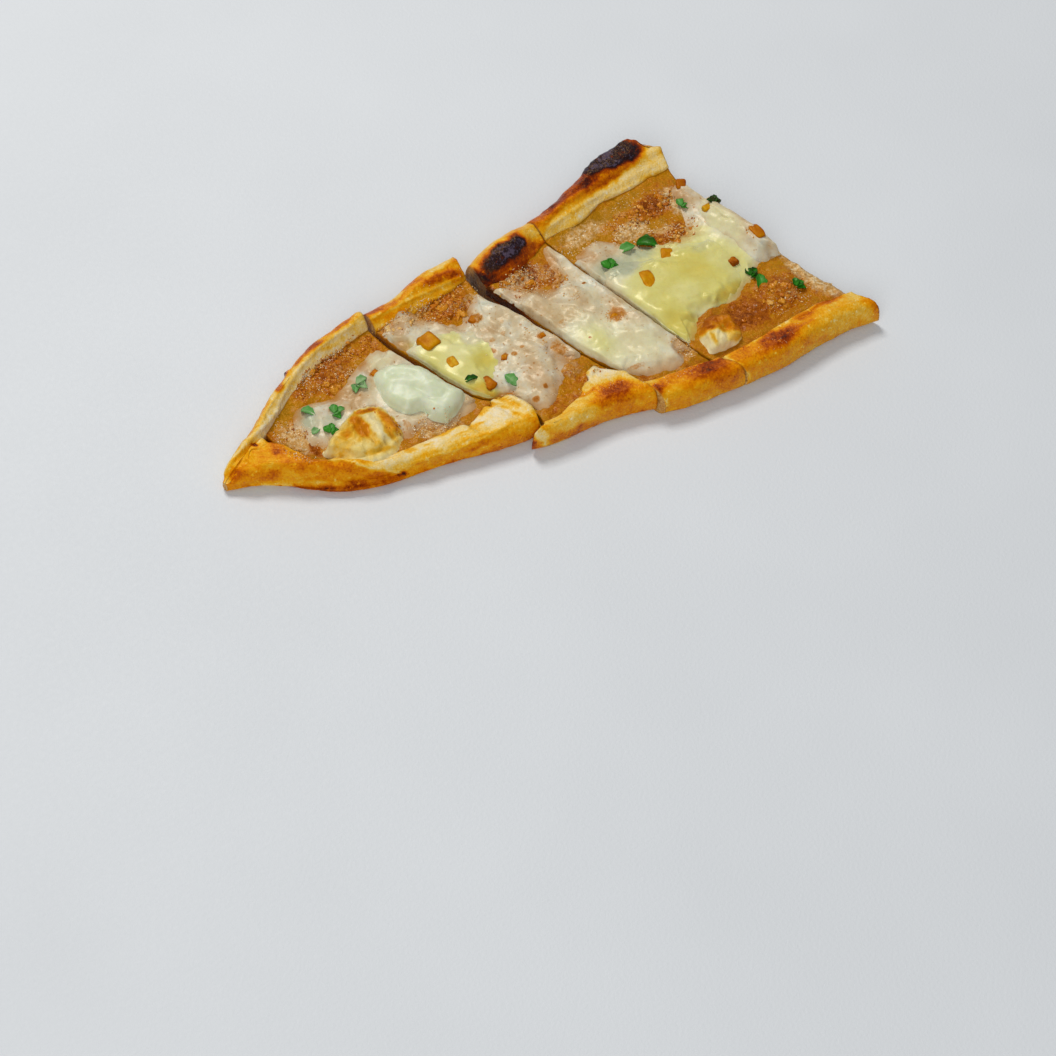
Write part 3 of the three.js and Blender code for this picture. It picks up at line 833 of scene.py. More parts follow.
DOUGH = BakedDough(
    "baked wheat dough", roughness=0.36, scatter=0.05, depth=0.8, coat=0.0, shiny=0.38,
    relief=((2.4, 0.24), (0.9, 0.24), (0.4, 0.14)), sheen="FFBE5A",
)
STEW = StewedFilling(
    "stewed onion and mince", roughness=0.28, scatter=0.0, depth=0.6, coat=0.05, shiny=0.42,
    relief=((2.2, 0.44), (1.0, 0.4), (0.45, 0.18)), sheen="FFB048",
)
SHEET = MeltedCheese(
    "melted white cheese", roughness=0.36, scatter=0.25, depth=1.2, coat=0.04, shiny=0.35,
    relief=((3.0, 0.14), (1.0, 0.06)), sheen="FFF6E0",
)
POOL = MeltedCheese(
    "melted yellow cheese", roughness=0.3, scatter=0.3, depth=1.6, coat=0.05, shiny=0.35,
    relief=((4.0, 0.12), (1.2, 0.02)), sheen="FFF4CC",
)
SOFT = SoftCheese(
    "soft white cheese", roughness=0.42, scatter=0.3, depth=1.4, coat=0.03, shiny=0.35,
    relief=((3.0, 0.1), (0.8, 0.03)),
)
CRISP = BakedCheese(
    "browned cheese", roughness=0.4, scatter=0.06, depth=1.0, coat=0.0, shiny=0.34,
    relief=((1.6, 0.16), (0.6, 0.08)), sheen="FFD890",
)
GRAINS = Crumbs(
    "mince and crisped cheese", roughness=0.28, scatter=0.05, depth=0.4, coat=0.0, shiny=0.5,
    relief=((0.5, 0.08),), sheen="FFE6C0",
)
PARSLEY = Herb(
    "parsley", roughness=0.42, scatter=0.0, depth=0.3, coat=0.03, shiny=0.26, relief=((0.9, 0.08),),
    sheen="E8FFC8",
)
PEPPER = Pepper(
    "diced pepper", roughness=0.34, scatter=0.0, depth=0.8, coat=0.0, shiny=0.26,
    relief=((0.9, 0.12), (0.4, 0.06)), sheen="FFB840",
)


# ---- The bread -----------------------------------------------------------------------------------

FLOOR = 3.2  # dough under the filling
SEAT = 0.3  # a rim is widest at this share of its height
UNDER_ROUND = 2.6  # how far the underside curves up before it lies flat
TOP_ROUND = 4.6  # plan width of a rim's outer rounding
FAR_LIP = 6.9  # the far rims slope down to this height
NEAR_LIP_DROP = 1.1  # the near rims end this much below their crest
FAR_SLOPE, NEAR_SLOPE = 1.7, 2.0  # how suddenly the rims fall to their lips
FAR_FOLD, NEAR_FOLD = 2.3, 2.7  # how sharply the dough is folded at their crests, where 2 is round
CREST_RIDGE = (0.3, 0.7)  # height and half width of the ridge along a crest
LIP_RIDGE = (0.25, 0.8)  # and of the one along a lip
RIDGED = (4, 8)  # rims of these heights get nothing and all of the ridges
CLOSED_DROP = 0.4  # where two rims meet, the floor lies this much under the lower one
OPENING = (1, 9)  # and it sinks as they part from the one distance to the other
FILLING_LEVEL = 6.2
CHEESE_LEVEL = 7.9
RIPPLE = 0.35  # height of the finest unevenness
GRID = 0.56  # distance between points of a surface

Mound = tuple[float, float, float, float, float, float]  # x, y, half length, half width, turn and height

FILLING_MOUNDS: tuple[Mound, ...] = (
    (46, 17, 9, 5, 20, 1.3), (26, 2, 4, 6, 20, 0.9), (62, 23, 5, 4, 0, 0.6), (95, 21, 7, 5, 0, 1.4),
    (118, 23, 6, 4, 10, 1.2), (130, 17, 4, 4, 0, 0.9), (171, 27, 9, 6, 10, 1.5), (172, 12, 8, 4, 0, 1.3),
    (190, -25, 7, 6, 0, 2.1), (176, -29, 6, 5, 0, 0.6), (163, -24, 5, 3, 30, 1.2), (113, -19, 6, 3, -20, 1),
)
CHEESE_MOUNDS: tuple[Mound, ...] = (
    (36, 6, 6, 5, 0, 0.6), (50, 8, 7, 4, 10, 1), (62, 14, 6, 4, 0, 0.7), (78, 23, 7, 4, 0, 1),
    (103, 11, 7, 9, 20, 1.8), (108, -8, 8, 10, 0, 1.5), (101, -20, 6, 6, 0, 0.9), (118, 8, 5, 10, -15, 1.2),
    (130, 4, 8, 9, -20, 2.6), (126, -12, 7, 8, 20, 1.6), (140, -18, 6, 12, 20, 2.2),
    (150, 17, 7, 5, 10, 1.1), (188, 22, 6, 8, 10, 1.2), (190, 2, 8, 8, 0, 1.6), (166, -2, 14, 9, 0, 0.8),
)


def raised(mounds: Sequence[Mound], x: np.ndarray, y: np.ndarray) -> np.ndarray:
    """Height that mounds add.

    Args:
        mounds: The mounds.
        x: Places along the bread.
        y: Places across it.

    Returns:
        One height a place.
    """
    total = np.zeros(np.broadcast(x, y).shape)
    for mx, my, along, across, turn, height in mounds:
        c, s = heading(turn)
        u, v = ((x - mx) * c + (y - my) * s) / along, ((y - my) * c - (x - mx) * s) / across
        total += height * np.exp(-(u * u + v * v))
    return total


def ripple(x: np.ndarray, y: np.ndarray) -> np.ndarray:
    """Fine unevenness at places."""
    return RIPPLE * np.sin(0.42 * x + 0.5) * np.cos(0.37 * y + 0.2 * x)


def filling_top(x: np.ndarray, y: np.ndarray) -> np.ndarray:
    """Height of the filling."""
    return FILLING_LEVEL + ripple(x, y) + raised(FILLING_MOUNDS, x, y)


def cheese_top(x: np.ndarray, y: np.ndarray) -> np.ndarray:
    """Height of the melted cheese."""
    return CHEESE_LEVEL + ripple(y, x) + raised(CHEESE_MOUNDS, x, y)


def floor_height(far: float, near: float, room: float) -> float:
    """Height of a tray's floor between rims of two heights, with so much room between them."""
    return mix(min(far, near) - CLOSED_DROP, FLOOR, step(room, *OPENING))


class Ground:
    """Height of all that has been laid so far, on a grid."""

    STEP = 0.6  # distance between the grid's points
    LOW = np.array([-6.0, -62.0])
    SIZE = (386, 210)
    SPREAD = 2  # grid points that a height is carried over, to where none is laid

    def __init__(self) -> None:
        """Starts with the bare table."""
        self.heights = np.zeros(self.SIZE)

    def lay(self, points: np.ndarray) -> None:
        """Raises the grid to what is laid.

        Args:
            points: Its points.
        """
        cell = np.round((points[:, :2] - self.LOW) / self.STEP).astype(int)
        inside = np.all((cell >= 0) & (cell < np.array(self.SIZE)), axis=1)
        fresh = np.zeros(self.SIZE)
        np.maximum.at(fresh, tuple(cell[inside].T), points[inside, 2])
        for _ in range(self.SPREAD):
            around = np.max([np.roll(fresh, s, a) for s in (-1, 1) for a in (0, 1)], axis=0)
            fresh = np.where(fresh > 0, fresh, around)
        self.heights = np.maximum(self.heights, fresh)

    def smooth(self, rounds: int) -> np.ndarray:
        """Heights evened out.

        Args:
            rounds: How often each takes the mean of those around it.

        Returns:
            The grid's heights.
        """
        heights = self.heights
        for _ in range(rounds):
            heights = sum(np.roll(heights, s, a) for s in (-1, 0, 1) for a in (0, 1)) / 6
        return heights

    def at(self, x: np.ndarray, y: np.ndarray, rounds: int = 1) -> np.ndarray:
        """Height at places.

        Args:
            x: Places along the bread.
            y: Places across it.
            rounds: How often the heights are evened out.

        Returns:
            One height a place.
        """
        heights = self.smooth(rounds)
        at = (np.stack([x, y], -1) - self.LOW) / self.STEP
        at = np.clip(at, 0, np.array(self.SIZE) - 1.001)
        i = at.astype(int)
        f = at - i
        corner = [heights[i[..., 0] + a, i[..., 1] + b] for a in (0, 1) for b in (0, 1)]
        return mix(mix(corner[0], corner[1], f[..., 1]), mix(corner[2], corner[3], f[..., 1]), f[..., 0])


@dataclass(frozen=True)
class Plan:
    """A slice seen from above.

    Attributes:
        left: Points of its cut nearer the tip, from the far edge to the near one.
        right: Points of its other cut.
        far: Points of its far edge between the cuts.
        near: Points of its near edge between the cuts.
        rims: Rows of place along it, far rim's width and height, near rim's width and height, and ledge.
        first: Share of its length at which the filling begins.
        curves: The cuts and the edges, drawn.
    """

    left: Points
    right: Points
    far: Points
    near: Points
    rims: Sequence[Sequence[float]]
    first: float = 0.0
    curves: tuple[tuple[Curve, Curve], tuple[Curve, Curve]] = field(init=False, repr=False)

    SAMPLES = 25  # points along a section when it is measured

    def __post_init__(self) -> None:
        """Draws the four curves."""
        cuts = (Curve(self.left), Curve(self.right))
        edges = (
            Curve([self.left[0], *self.far, self.right[0]]),
            Curve([self.left[-1], *self.near, self.right[-1]]),
        )
        object.__setattr__(self, "curves", (cuts, edges))

    def point(self, along: np.ndarray, across: np.ndarray) -> np.ndarray:
        """Places on the patch between the cuts and the edges.

        Args:
            along: Shares of its length.
            across: Shares of its width.

        Returns:
            One place for each pair of shares.
        """
        cuts, edges = self.curves
        a, c = np.asarray(along, float)[..., None], np.asarray(across, float)[..., None]
        sides = [cut.at(across) for cut in cuts]
        ends = [edge.at(along) for edge in edges]
        total = (1 - a) * sides[0] + a * sides[1] + (1 - c) * ends[0] + c * ends[1]
        for cut, u in ((cuts[0], 1 - a), (cuts[1], a)):
            for share, v in ((0.0, 1 - c), (1.0, c)):
                total = total - u * v * cut.at(np.array(share))
        return total

    def span(self, along: float) -> float:
        """Length of the section across the slice at a place."""
        line = self.point(np.full(self.SAMPLES, along), np.linspace(0, 1, self.SAMPLES))
        return float(np.linalg.norm(np.diff(line, axis=0), axis=1).sum())

    def rim(self, along: float) -> np.ndarray:
        """Reads the table of rims, with smooth steps between its rows.

        Args:
            along: Share of the slice's length.

        Returns:
            Far rim's width and height, near rim's width and height, and ledge.
        """
        table = np.array(self.rims, float)
        row = int(np.clip(np.searchsorted(table[:, 0], along), 1, len(table) - 1))
        share = step(along, table[row - 1, 0], table[row, 0])
        return mix(table[row - 1, 1:], table[row, 1:], share)

    def length(self) -> float:
        """Length of the longer edge."""
        return float(max(edge.lengths[-1] for edge in self.curves[1]))


def rim_rows(width: float, height: float, lip: float, slope: float, ledge: float, fold: float) -> np.ndarray:
    """Section of a rim from its foot to the floor.

    Args:
        width: Its width at the floor.
        height: Its height.
        lip: Height of its inner lip.
        slope: How suddenly it falls to the lip.
        ledge: How far the dough's base sticks out under it.
        fold: How sharply the dough is folded at the crest: 2 is round.

    Returns:
        Rows of distance from the edge, height and place: 0 at the foot, 1 on the crest and 2 at the lip.
    """
    round_ = min(0.55 * (width - ledge), TOP_ROUND)
    side = SEAT * height
    crest = ledge + round_
    power = 2 / fold
    foot = [(ledge * q, mix(min(side, 0.6 * FLOOR), side, q), 0.2 * q) for q in (0, 0.37)]
    arc = [
        (crest - round_ * math.cos(q) ** power, side + (height - side) * math.sin(q) ** power, 0.2 + 0.51 * q)
        for q in np.linspace(0, math.pi / 2, 18)
    ]
    falls = np.linspace(0, 1, 19)[1:]
    top = [(mix(crest, width, q), height - (height - lip) * q**slope, 1 + q) for q in falls]
    rows = np.array([*foot, *arc, *top])
    for at, (rise, wide) in ((crest, CREST_RIDGE), (width, LIP_RIDGE)):
        rows[:, 1] += rise * np.exp(-(((rows[:, 0] - at) / wide) ** 2)) * step(height, *RIDGED)
    return rows


@dataclass(frozen=True)
class Crust:
    """Tray of baked dough of one slice.

    Attributes:
        name: The slice's name.
        plan: The slice from above.
        marks: Spots and folds of the dough's baking, a few of them painted shade in creases and gaps.
        far_bake: How baked the far rim is at its foot, side, crest, top, lip and wall.
        near_bake: The same of the near rim.
        seed: Chooses its unevenness.
    """

    name: str
    plan: Plan
    marks: tuple[Spot | Fold, ...]
    far_bake: tuple[float, ...]
    near_bake: tuple[float, ...]
    seed: int

    PLACES = (0.0, 0.5, 1.0, 1.5, 2.0, 3.0)  # places across a rim that the rows of baking are given for
    WALL = 5  # rows of points down the inner wall of a rim
    ACROSS = 12  # points across the floor
    THICK = 1.5  # least width of dough under a lip
    ROUGH = ((15, 0.4), (6, 0.36), (2.6, 0.16), (1.1, 0.06))
    BLISTERS = ((2.2, 0.45), (1.0, 0.25))
    CHARRED = (0.72, 0.9)  # how baked the dough is where it begins to blister, and where it is all blisters
    STAINS = ((9, 0.09), (3, 0.05))  # how unevenly it is baked

    def station(self, along: float) -> tuple[np.ndarray, np.ndarray]:
        """Section at a place along the slice.

        Args:
            along: Share of the slice's length.

        Returns:
            Rows of share of the width, height, place and side for the top, where the places go on from a
            rim's own to 3 at the floor, and rows of share and height for the underside.
        """
        plan = self.plan
        span = plan.span(along)
        far_width, far_height, near_width, near_height, ledge = plan.rim(along)
        far = rim_rows(far_width, far_height, min(FAR_LIP, far_height), FAR_SLOPE, 0.0, FAR_FOLD)
        near = rim_rows(near_width, near_height, near_height - NEAR_LIP_DROP, NEAR_SLOPE, ledge, NEAR_FOLD)
        start, end = far_width, max(span - near_width, far_width + 0.2)
        floor = floor_height(far_height, near_height, end - start)
        top, low = [], []
        for rim, flip in ((far, False), (near, True)):
            edge = rim[-1]
            wall = [(edge[0], mix(edge[1], floor, q), 2 + q) for q in np.linspace(0, 1, self.WALL + 1)[1:]]
            rows = np.concatenate([rim, wall])
            inner = max(edge[0] - self.THICK, 0.5 * edge[0])
            under = rows[:, 0] * inner / edge[0]
            under[-self.WALL :] = np.linspace(inner, edge[0], self.WALL + 1)[1:]
            foot = min(UNDER_ROUND, 0.3 * span)
            heights = rim[0, 1] * (1 - np.clip(under / foot, 0, 1)) ** 1.4
            rows = np.column_stack([rows, np.full(len(rows), float(flip))])
            below = np.column_stack([under, heights])
            if flip:
                rows[:, 0], below[:, 0] = span - rows[:, 0], span - below[:, 0]
                rows, below = rows[::-1], below[::-1]
            top.append(rows)
            low.append(below)
        middle = np.linspace(start, end, self.ACROSS + 2)[1:-1]
        flat = np.column_stack([middle, *(np.full(len(middle), v) for v in (floor, 3.0, 0.5))])
        upper = np.concatenate([top[0], flat, top[1]])
        lower = np.concatenate([low[0], np.column_stack([middle, 0 * middle]), low[1]])
        upper[:, 0], lower[:, 0] = np.clip(upper[:, 0] / span, 0, 1), np.clip(lower[:, 0] / span, 0, 1)
        return upper, lower

    def form(self) -> Form:
        """Sweeps the section along the slice.

        Returns:
            The tray's mesh, with its marks "bake" and "cut".
        """
        count = int(self.plan.length() / (GRID * 1.1))
        upper, lower, place, side = [], [], [], []
        for along in np.linspace(0, 1, count + 1):
            top, low = self.station(along)
            for rows, sheet in ((top, upper), (low, lower)):
                flat = self.plan.point(np.full(len(rows), along), rows[:, 0])
                sheet.append(np.column_stack([flat, rows[:, 1]]))
            place.append(top[:, 2])
            side.append(top[:, 3])
        marks = {"place": np.array(place), "side": np.array(side)}
        made = slab(np.array(upper), np.array(lower), 8, marks)
        return self.baked(self.roughened(made))

    def roughened(self, made: Form) -> Form:
        """Adds the dough's unevenness, folds and blisters.

        Args:
            made: The smooth tray.

        Returns:
            The same form, changed.
        """
        seen = made.seen()
        shift = layered(made.points, self.ROUGH, self.seed) + lifted(seen, self.marks)
        char = painted(np.zeros(len(seen)), ragged(made.points, seen, self.seed), self.marks)
        blisters = 0.3 + layered(made.points, self.BLISTERS, self.seed + 5)
        shift += step(char, *self.CHARRED) * blisters
        free = step(made.points[:, 2], 0.2, 2.6) * (1 - 0.7 * made.marks["wall"])
        made.points = made.points + made.normals() * (shift * free)[:, None]
        made.points[:, 2] = np.maximum(made.points[:, 2], 0)
        return made

    def baked(self, made: Form) -> Form:
        """Paints how it is baked, and where its crumb shows.

        Args:
            made: The tray, whose marks still say where on the rims each point is.

        Returns:
            The same form, painted.
        """
        place, side, wall = (made.marks.pop(name) for name in ("place", "side", "wall"))
        far, near = (np.interp(place, self.PLACES, bakes) for bakes in (self.far_bake, self.near_bake))
        base = mix(far, near, side) + layered(made.points, self.STAINS, self.seed + 3)
        bake = painted(base, ragged(made.points, made.seen(), self.seed), self.marks)
        under = step(made.points[:, 2], 1.4, 0.2)
        made.marks["bake"] = np.clip(mix(bake, 0.42 + 0.25 * noise(made.points, 9, 3), under), 0, 1)
        made.marks["cut"] = wall * (0.9 + 0.1 * noise(made.points, 2, 4))
        return made


@dataclass(frozen=True)
class Filling:
    """Filling of one slice.

    Attributes:
        name: The slice's name.
        plan: The slice from above.
        meat: Where it is mince, with one spot of painted shade along a cut.
        pale: Where onion and cheese are worked into it.
        seed: Chooses its unevenness.
    """

    name: str
    plan: Plan
    meat: tuple[Spot, ...]
    pale: tuple[Spot, ...]
    seed: int

    OVERLAP = 0.3  # how far it reaches into the rims
    BED = 0.2  # how far its underside lies over the floor
    CREEP = (0.5, 0.9)  # how high, and over what width, it creeps up the rims
    COARSE = ((3.0, 0.8), (1.5, 0.6))
    SMOOTH = ((6, 0.35), (2.5, 0.12))
    CRAGS = 0.8  # how much of that unevenness shows

    def form(self) -> Form:
        """Fills the tray from rim to rim.

        Returns:
            The filling's mesh, with its marks "meat" and "pale".
        """
        plan = self.plan
        count = int(plan.length() * (1 - plan.first) / GRID)
        widest = max(plan.span(a) for a in np.linspace(plan.first, 1, 5))
        columns = int(widest / GRID)
        upper, lower = [], []
        for along in np.linspace(plan.first, 1, count + 1):
            span = plan.span(along)
            far_width, far_height, near_width, near_height, _ = plan.rim(along)
            start = far_width - self.OVERLAP
            end = max(span - near_width + self.OVERLAP, far_width + 2 * self.OVERLAP)
            floor = floor_height(far_height, near_height, end - start - 2 * self.OVERLAP) + self.BED
            across = np.linspace(start, end, columns)
            x, y = plan.point(np.full(columns, along), np.clip(across / span, 0, 1)).T
            edge = np.minimum(across - start, end - across)
            height = filling_top(x, y) + self.CREEP[0] * np.exp(-edge / self.CREEP[1])
            upper.append(np.column_stack([x, y, height]))
            lower.append(np.column_stack([x, y, np.full(columns, floor)]))
        made = slab(np.array(upper), np.array(lower), 6, {})
        seen = ragged(made.points, made.seen(), self.seed)
        meat = painted(0.25 + 0.2 * noise(made.points, 8, self.seed), seen, self.meat)
        pale = painted(0.06 + 0.1 * noise(made.points, 5, self.seed + 1), seen, self.pale)
        coarse = layered(made.points, self.COARSE, self.seed + 2)
        smooth = layered(made.points, self.SMOOTH, self.seed + 4)
        lift = mix(smooth, coarse + 0.2, np.clip(0.2 + meat + pale, 0, 1))
        top = step(made.normals()[:, 2], 0.2, 0.6)
        made.points[:, 2] += lift * top * self.CRAGS
        made.points[:, :2] += 0.12 * made.marks["wall"][:, None] * noise(made.points, 1.5, self.seed)[:, None]
        made.marks = {"meat": np.clip(meat, 0, 1), "pale": np.clip(pale, 0, 1)}
        return made


# ---- Cheese --------------------------------------------------------------------------------------


class Cover(Enum):
    """How a piece of cheese lies."""

    SHEET = "melted over the filling"
    LUMP = "standing on the sheet"


@dataclass(frozen=True)
class Cheese:
    """Sheet or lump of cheese.

    Attributes:
        name: The piece's name, which is its CAD node's.
        plan: The slice that it lies on.
        cover: How it lies.
        centre: A point from which its whole outline is seen.
        outline: Its outline.
        round_: Plan width of its edge's rounding.
        finish: What it is made of.
        slot: The record's slot.
        seed: Chooses its unevenness.
        top: Height of its middle, for a lump.
        crown: How far a lump falls away to its edge.
        melt: How unevenly its edge has melted away.
        yellow: Where it is yellow.
        clear: Where it is glassy.
        thin: Where the filling shows through.
        scorch: Where it is browned.
        folds: Ridges and grooves.
        rough: Strength of its unevenness.
        crumple: How crumpled its sides are, and above a half its top as well.
    """

    name: str
    plan: Plan
    cover: Cover
    centre: tuple[float, float]
    outline: Points
    round_: float
    finish: Finish
    slot: str
    seed: int
    top: float = 0.0
    crown: float = 0.0
    melt: float = 1.0
    yellow: tuple[Spot, ...] = ()
    clear: tuple[Spot, ...] = ()
    thin: tuple[Spot, ...] = ()
    scorch: tuple[Spot | Fold, ...] = ()
    folds: tuple[Spot | Fold, ...] = ()
    rough: float = 1.0
    crumple: float = 0.35

    INSET = 0.55  # how far it stays back from a cut
    CUT_ROUND = {Cover.SHEET: 0.8, Cover.LUMP: 2.6}  # plan width of its rounding at a cut
    SAG = 0.35  # how far its cut side bulges
    BED = 0.9  # how far its underside is sunk into what carries it
    SKIN = (5, 5)  # rings of its underside, and rows of faces down its side
    RAGGED = ((8, 1.2), (3.2, 1.0), (1.3, 0.45))  # noises of its outline
    MELTED = ((7, 0.6), (2.5, 0.4))  # of how far its edge has run
    UNEVEN = ((10, 0.55), (5, 0.4), (2.4, 0.2), (1.2, 0.07))  # of its top
    CREASES = ((4.0, 0.8), (1.8, 0.5), (0.9, 0.2))  # and of where it is crumpled
    RUSH = 0.7  # how ragged the edges of its patches are

    def border(self) -> tuple[np.ndarray, np.ndarray]:
        """Its edge, trimmed to the slice.

        Returns:
            Points of the edge, and for each from 0, where it ends freely, to 1, where a cut trims it.
        """
        closed = Curve([*self.outline, self.outline[0]])
        count = int(closed.lengths[-1] / (0.85 * GRID))
        middle = np.array(self.centre)
        way = closed.at(1 - np.arange(count) / count) - middle
        flat = np.column_stack([way, np.zeros(count)])
        uneven = layered(flat, self.RAGGED, self.seed) * (0.3 + 0.7 * self.melt)
        way = way * (1 + uneven / np.linalg.norm(way, axis=1))[:, None]
        reach = np.ones(count)
        for cut, sign in zip(self.plan.curves[0], (1, -1)):
            line = cut.at(np.linspace(0, 1, 80))
            along = np.gradient(line, axis=0)
            away = np.stack([-along[:, 1], along[:, 0]], 1)
            line = line + sign * self.INSET * away / np.linalg.norm(away, axis=1, keepdims=True)
            a, d = line[None, :-1] - middle, (line[1:] - line[:-1])[None]
            cross = way[:, None, 0] * d[..., 1] - way[:, None, 1] * d[..., 0]
            cross = np.where(np.abs(cross) < TINY, TINY, cross)
            t = (a[..., 0] * d[..., 1] - a[..., 1] * d[..., 0]) / cross
            s = (a[..., 0] * way[:, None, 1] - a[..., 1] * way[:, None, 0]) / cross
            hit = np.where((t > 0) & (s >= 0) & (s <= 1), t, np.inf).min(1)
            reach = np.minimum(reach, hit)
        trimmed = (reach < 0.999).astype(float)
        for _ in range(4):
            trimmed = (np.roll(trimmed, 1) + trimmed + np.roll(trimmed, -1)) / 3
        return middle + way * reach[:, None], trimmed

    def disc(self, border: np.ndarray, rings: int) -> np.ndarray:
        """Points of a disc.

        Args:
            border: Points of its edge.
            rings: How many rings of points it has.

        Returns:
            The centre first, and then the rings out to the edge.
        """
        middle = np.array(self.centre)
        shares = np.linspace(0, 1, rings + 1)[1:]
        points = middle + shares[:, None, None] * (border - middle)[None]
        return np.concatenate([[middle], points.reshape(-1, 2)])

    @staticmethod
    def inland(flat: np.ndarray, border: np.ndarray) -> tuple[np.ndarray, np.ndarray]:
        """How far points lie from the edge.

        Args:
            flat: The points.
            border: The edge.

        Returns:
            Each one's distance to the edge, and the index of the nearest point of the edge.
        """
        away, nearest = np.zeros(len(flat)), np.zeros(len(flat), int)
        for part in np.array_split(np.arange(len(flat)), len(flat) // len(border)):
            gaps = np.linalg.norm(flat[part][:, None] - border[None], axis=2)
            away[part], nearest[part] = gaps.min(1), gaps.argmin(1)
        return away, nearest

    def form(self, ground: Ground) -> Form:
        """The cheese's mesh, laid on what is there.

        Args:
            ground: What is there.

        Returns:
            The mesh with its marks.
        """
        border, trimmed = self.border()
        reach = np.linalg.norm(border - np.array(self.centre), axis=1)
        count, rings = len(border), int(reach.max() / GRID)
        flat = self.disc(border, rings)
        away, nearest = self.inland(flat, border)
        cut = trimmed[nearest]
        x, y = flat.T
        carry = ground.at(x, y, 2 if self.cover is Cover.SHEET else 4)
        body = self.level(x, y, carry)
        top = Form(np.column_stack([x, y, body]), self.rings(rings, count), {})
        thin = painted(0 * x, ragged(top.points, top.seen(), self.seed + 2, self.RUSH), self.thin)
        body = mix(body, carry + 0.15, 0.8 * step(np.clip(thin, 0, 1), 0.25, 0.9))
        melted = np.clip(0.5 + layered(top.points * [1, 1, 0], self.MELTED, self.seed + 7), 0, 1)
        width = mix(self.round_ * mix(1.0, 0.6 + 1.8 * melted, self.melt), self.CUT_ROUND[self.cover], cut)
        inner = np.clip(away / width, 0, 1)
        edge = mix(np.sqrt(1 - (1 - inner) ** 2), step(inner, 0, 1), 0.6 * self.melt * (1 - cut))
        foot = carry - 0.4
        top.points[:, 2] = foot + (body - foot) * mix(edge, mix(0.5, 1, edge), cut)
        spread = (1 - cut) * self.melt
        top.marks = {"inner": mix(1, np.clip(away / 5, 0, 1), spread), "melted": melted * spread}
        low_rings, layers = self.SKIN
        low_flat = self.disc(border, low_rings)
        under = ground.at(*low_flat.T, 2) - self.BED
        low = Form(np.column_stack([low_flat, under]), self.rings(low_rings, count), {})
        edges = [1 + (n - 1) * count + np.arange(count) for n in (rings, low_rings)]
        return self.dressed(shell(top, edges[0], low, edges[1], layers, self.SAG))

    @staticmethod
    def rings(rings: int, count: int) -> np.ndarray:
        """Faces of a disc: a middle point and rings round it.

        Args:
            rings: How many rings.
            count: Points in a ring.

        Returns:
            Rows of four indices.
        """
        fan = np.stack([np.zeros(count, int), 1 + np.arange(count), 1 + (np.arange(count) + 1) % count], 1)
        fan = np.column_stack([fan, fan[:, 2]])
        rest = grid_faces(rings, count, 1, closed=True)[:, [0, 3, 2, 1]]
        return np.concatenate([fan, rest])

    def level(self, x: np.ndarray, y: np.ndarray, carry: np.ndarray) -> np.ndarray:
        """Height of its upper side away from its edges.

        Args:
            x: Places along the bread.
            y: Places across it.
            carry: Height of what carries it there.

        Returns:
            One height a place.
        """
        if self.cover is Cover.SHEET:
            return np.maximum(cheese_top(x, y), carry + 0.5)
        size = max(math.hypot(a - self.centre[0], b - self.centre[1]) for a, b in self.outline)
        away = np.hypot(x - self.centre[0], y - self.centre[1]) / size
        return self.top - self.crown * away**2 + 0.7 * ripple(x, 2 * y)

    def dressed(self, made: Form) -> Form:
        """Adds its folds, unevenness and marks.

        Args:
            made: The smooth form.

        Returns:
            The same form, changed.
        """
        facing = step(made.normals()[:, 2], 0.1, 0.5)
        inner, melted = made.marks["inner"], made.marks["melted"]
        uneven = layered(made.points, self.UNEVEN, self.seed + 1)
        uneven = self.rough * uneven * mix(0.5, 1, inner)
        made.points[:, 2] += facing * (lifted(made.seen(), self.folds) + uneven)
        crumpled = self.crumple * layered(made.points, self.CREASES, self.seed + 9)
        where = np.maximum(facing * step(self.crumple, 0.5, 0.9), made.marks["wall"])
        made.points = made.points + made.normals() * (crumpled * where)[:, None]
        seen = ragged(made.points, made.seen(), self.seed + 2, self.RUSH)
        zero = np.zeros(len(made.points))
        bare = 0.75 if self.cover is Cover.SHEET else 0.0
        thin = painted(zero, seen, self.thin) + bare * step(inner, 0.8, 0) * mix(0.4, 1, melted)
        # side paints the cut walls less yellow and so paler than the top: painted light on walls that face
        # away from the lamps
        side = 1 - 0.3 * made.marks["wall"]
        browned = (*self.scorch, *(fold for fold in self.folds if fold.value))
        made.marks = {
            "yellow": np.clip(painted(zero, seen, self.yellow), 0, 1) * side,
            "clear": np.clip(painted(zero, seen, self.clear), 0, 1),
            "thin": np.clip(thin, 0, 1),
            "scorch": np.clip(painted(zero, seen, browned), 0, 1),
        }
        return made


# ---- Small things --------------------------------------------------------------------------------

SETTLING = 3  # steps in which a seen place is followed down to the ground


@dataclass(frozen=True)
class Patch:
    """Oval patch strewn with grains.

    Attributes:
        x: Seen place along the bread.
        y: Seen place across it.
        long: Half its length.
        wide: Half its width.
        turn: Turn in degrees.
        count: How many grains.
        size: Smallest and largest grain, in millimetres across.
        tone: Palest and darkest grain.
    """

    x: float
    y: float
    long: float
    wide: float
    turn: float
    count: int
    size: tuple[float, float] = (0.6, 1.5)
    tone: tuple[float, float] = (0.3, 0.9)


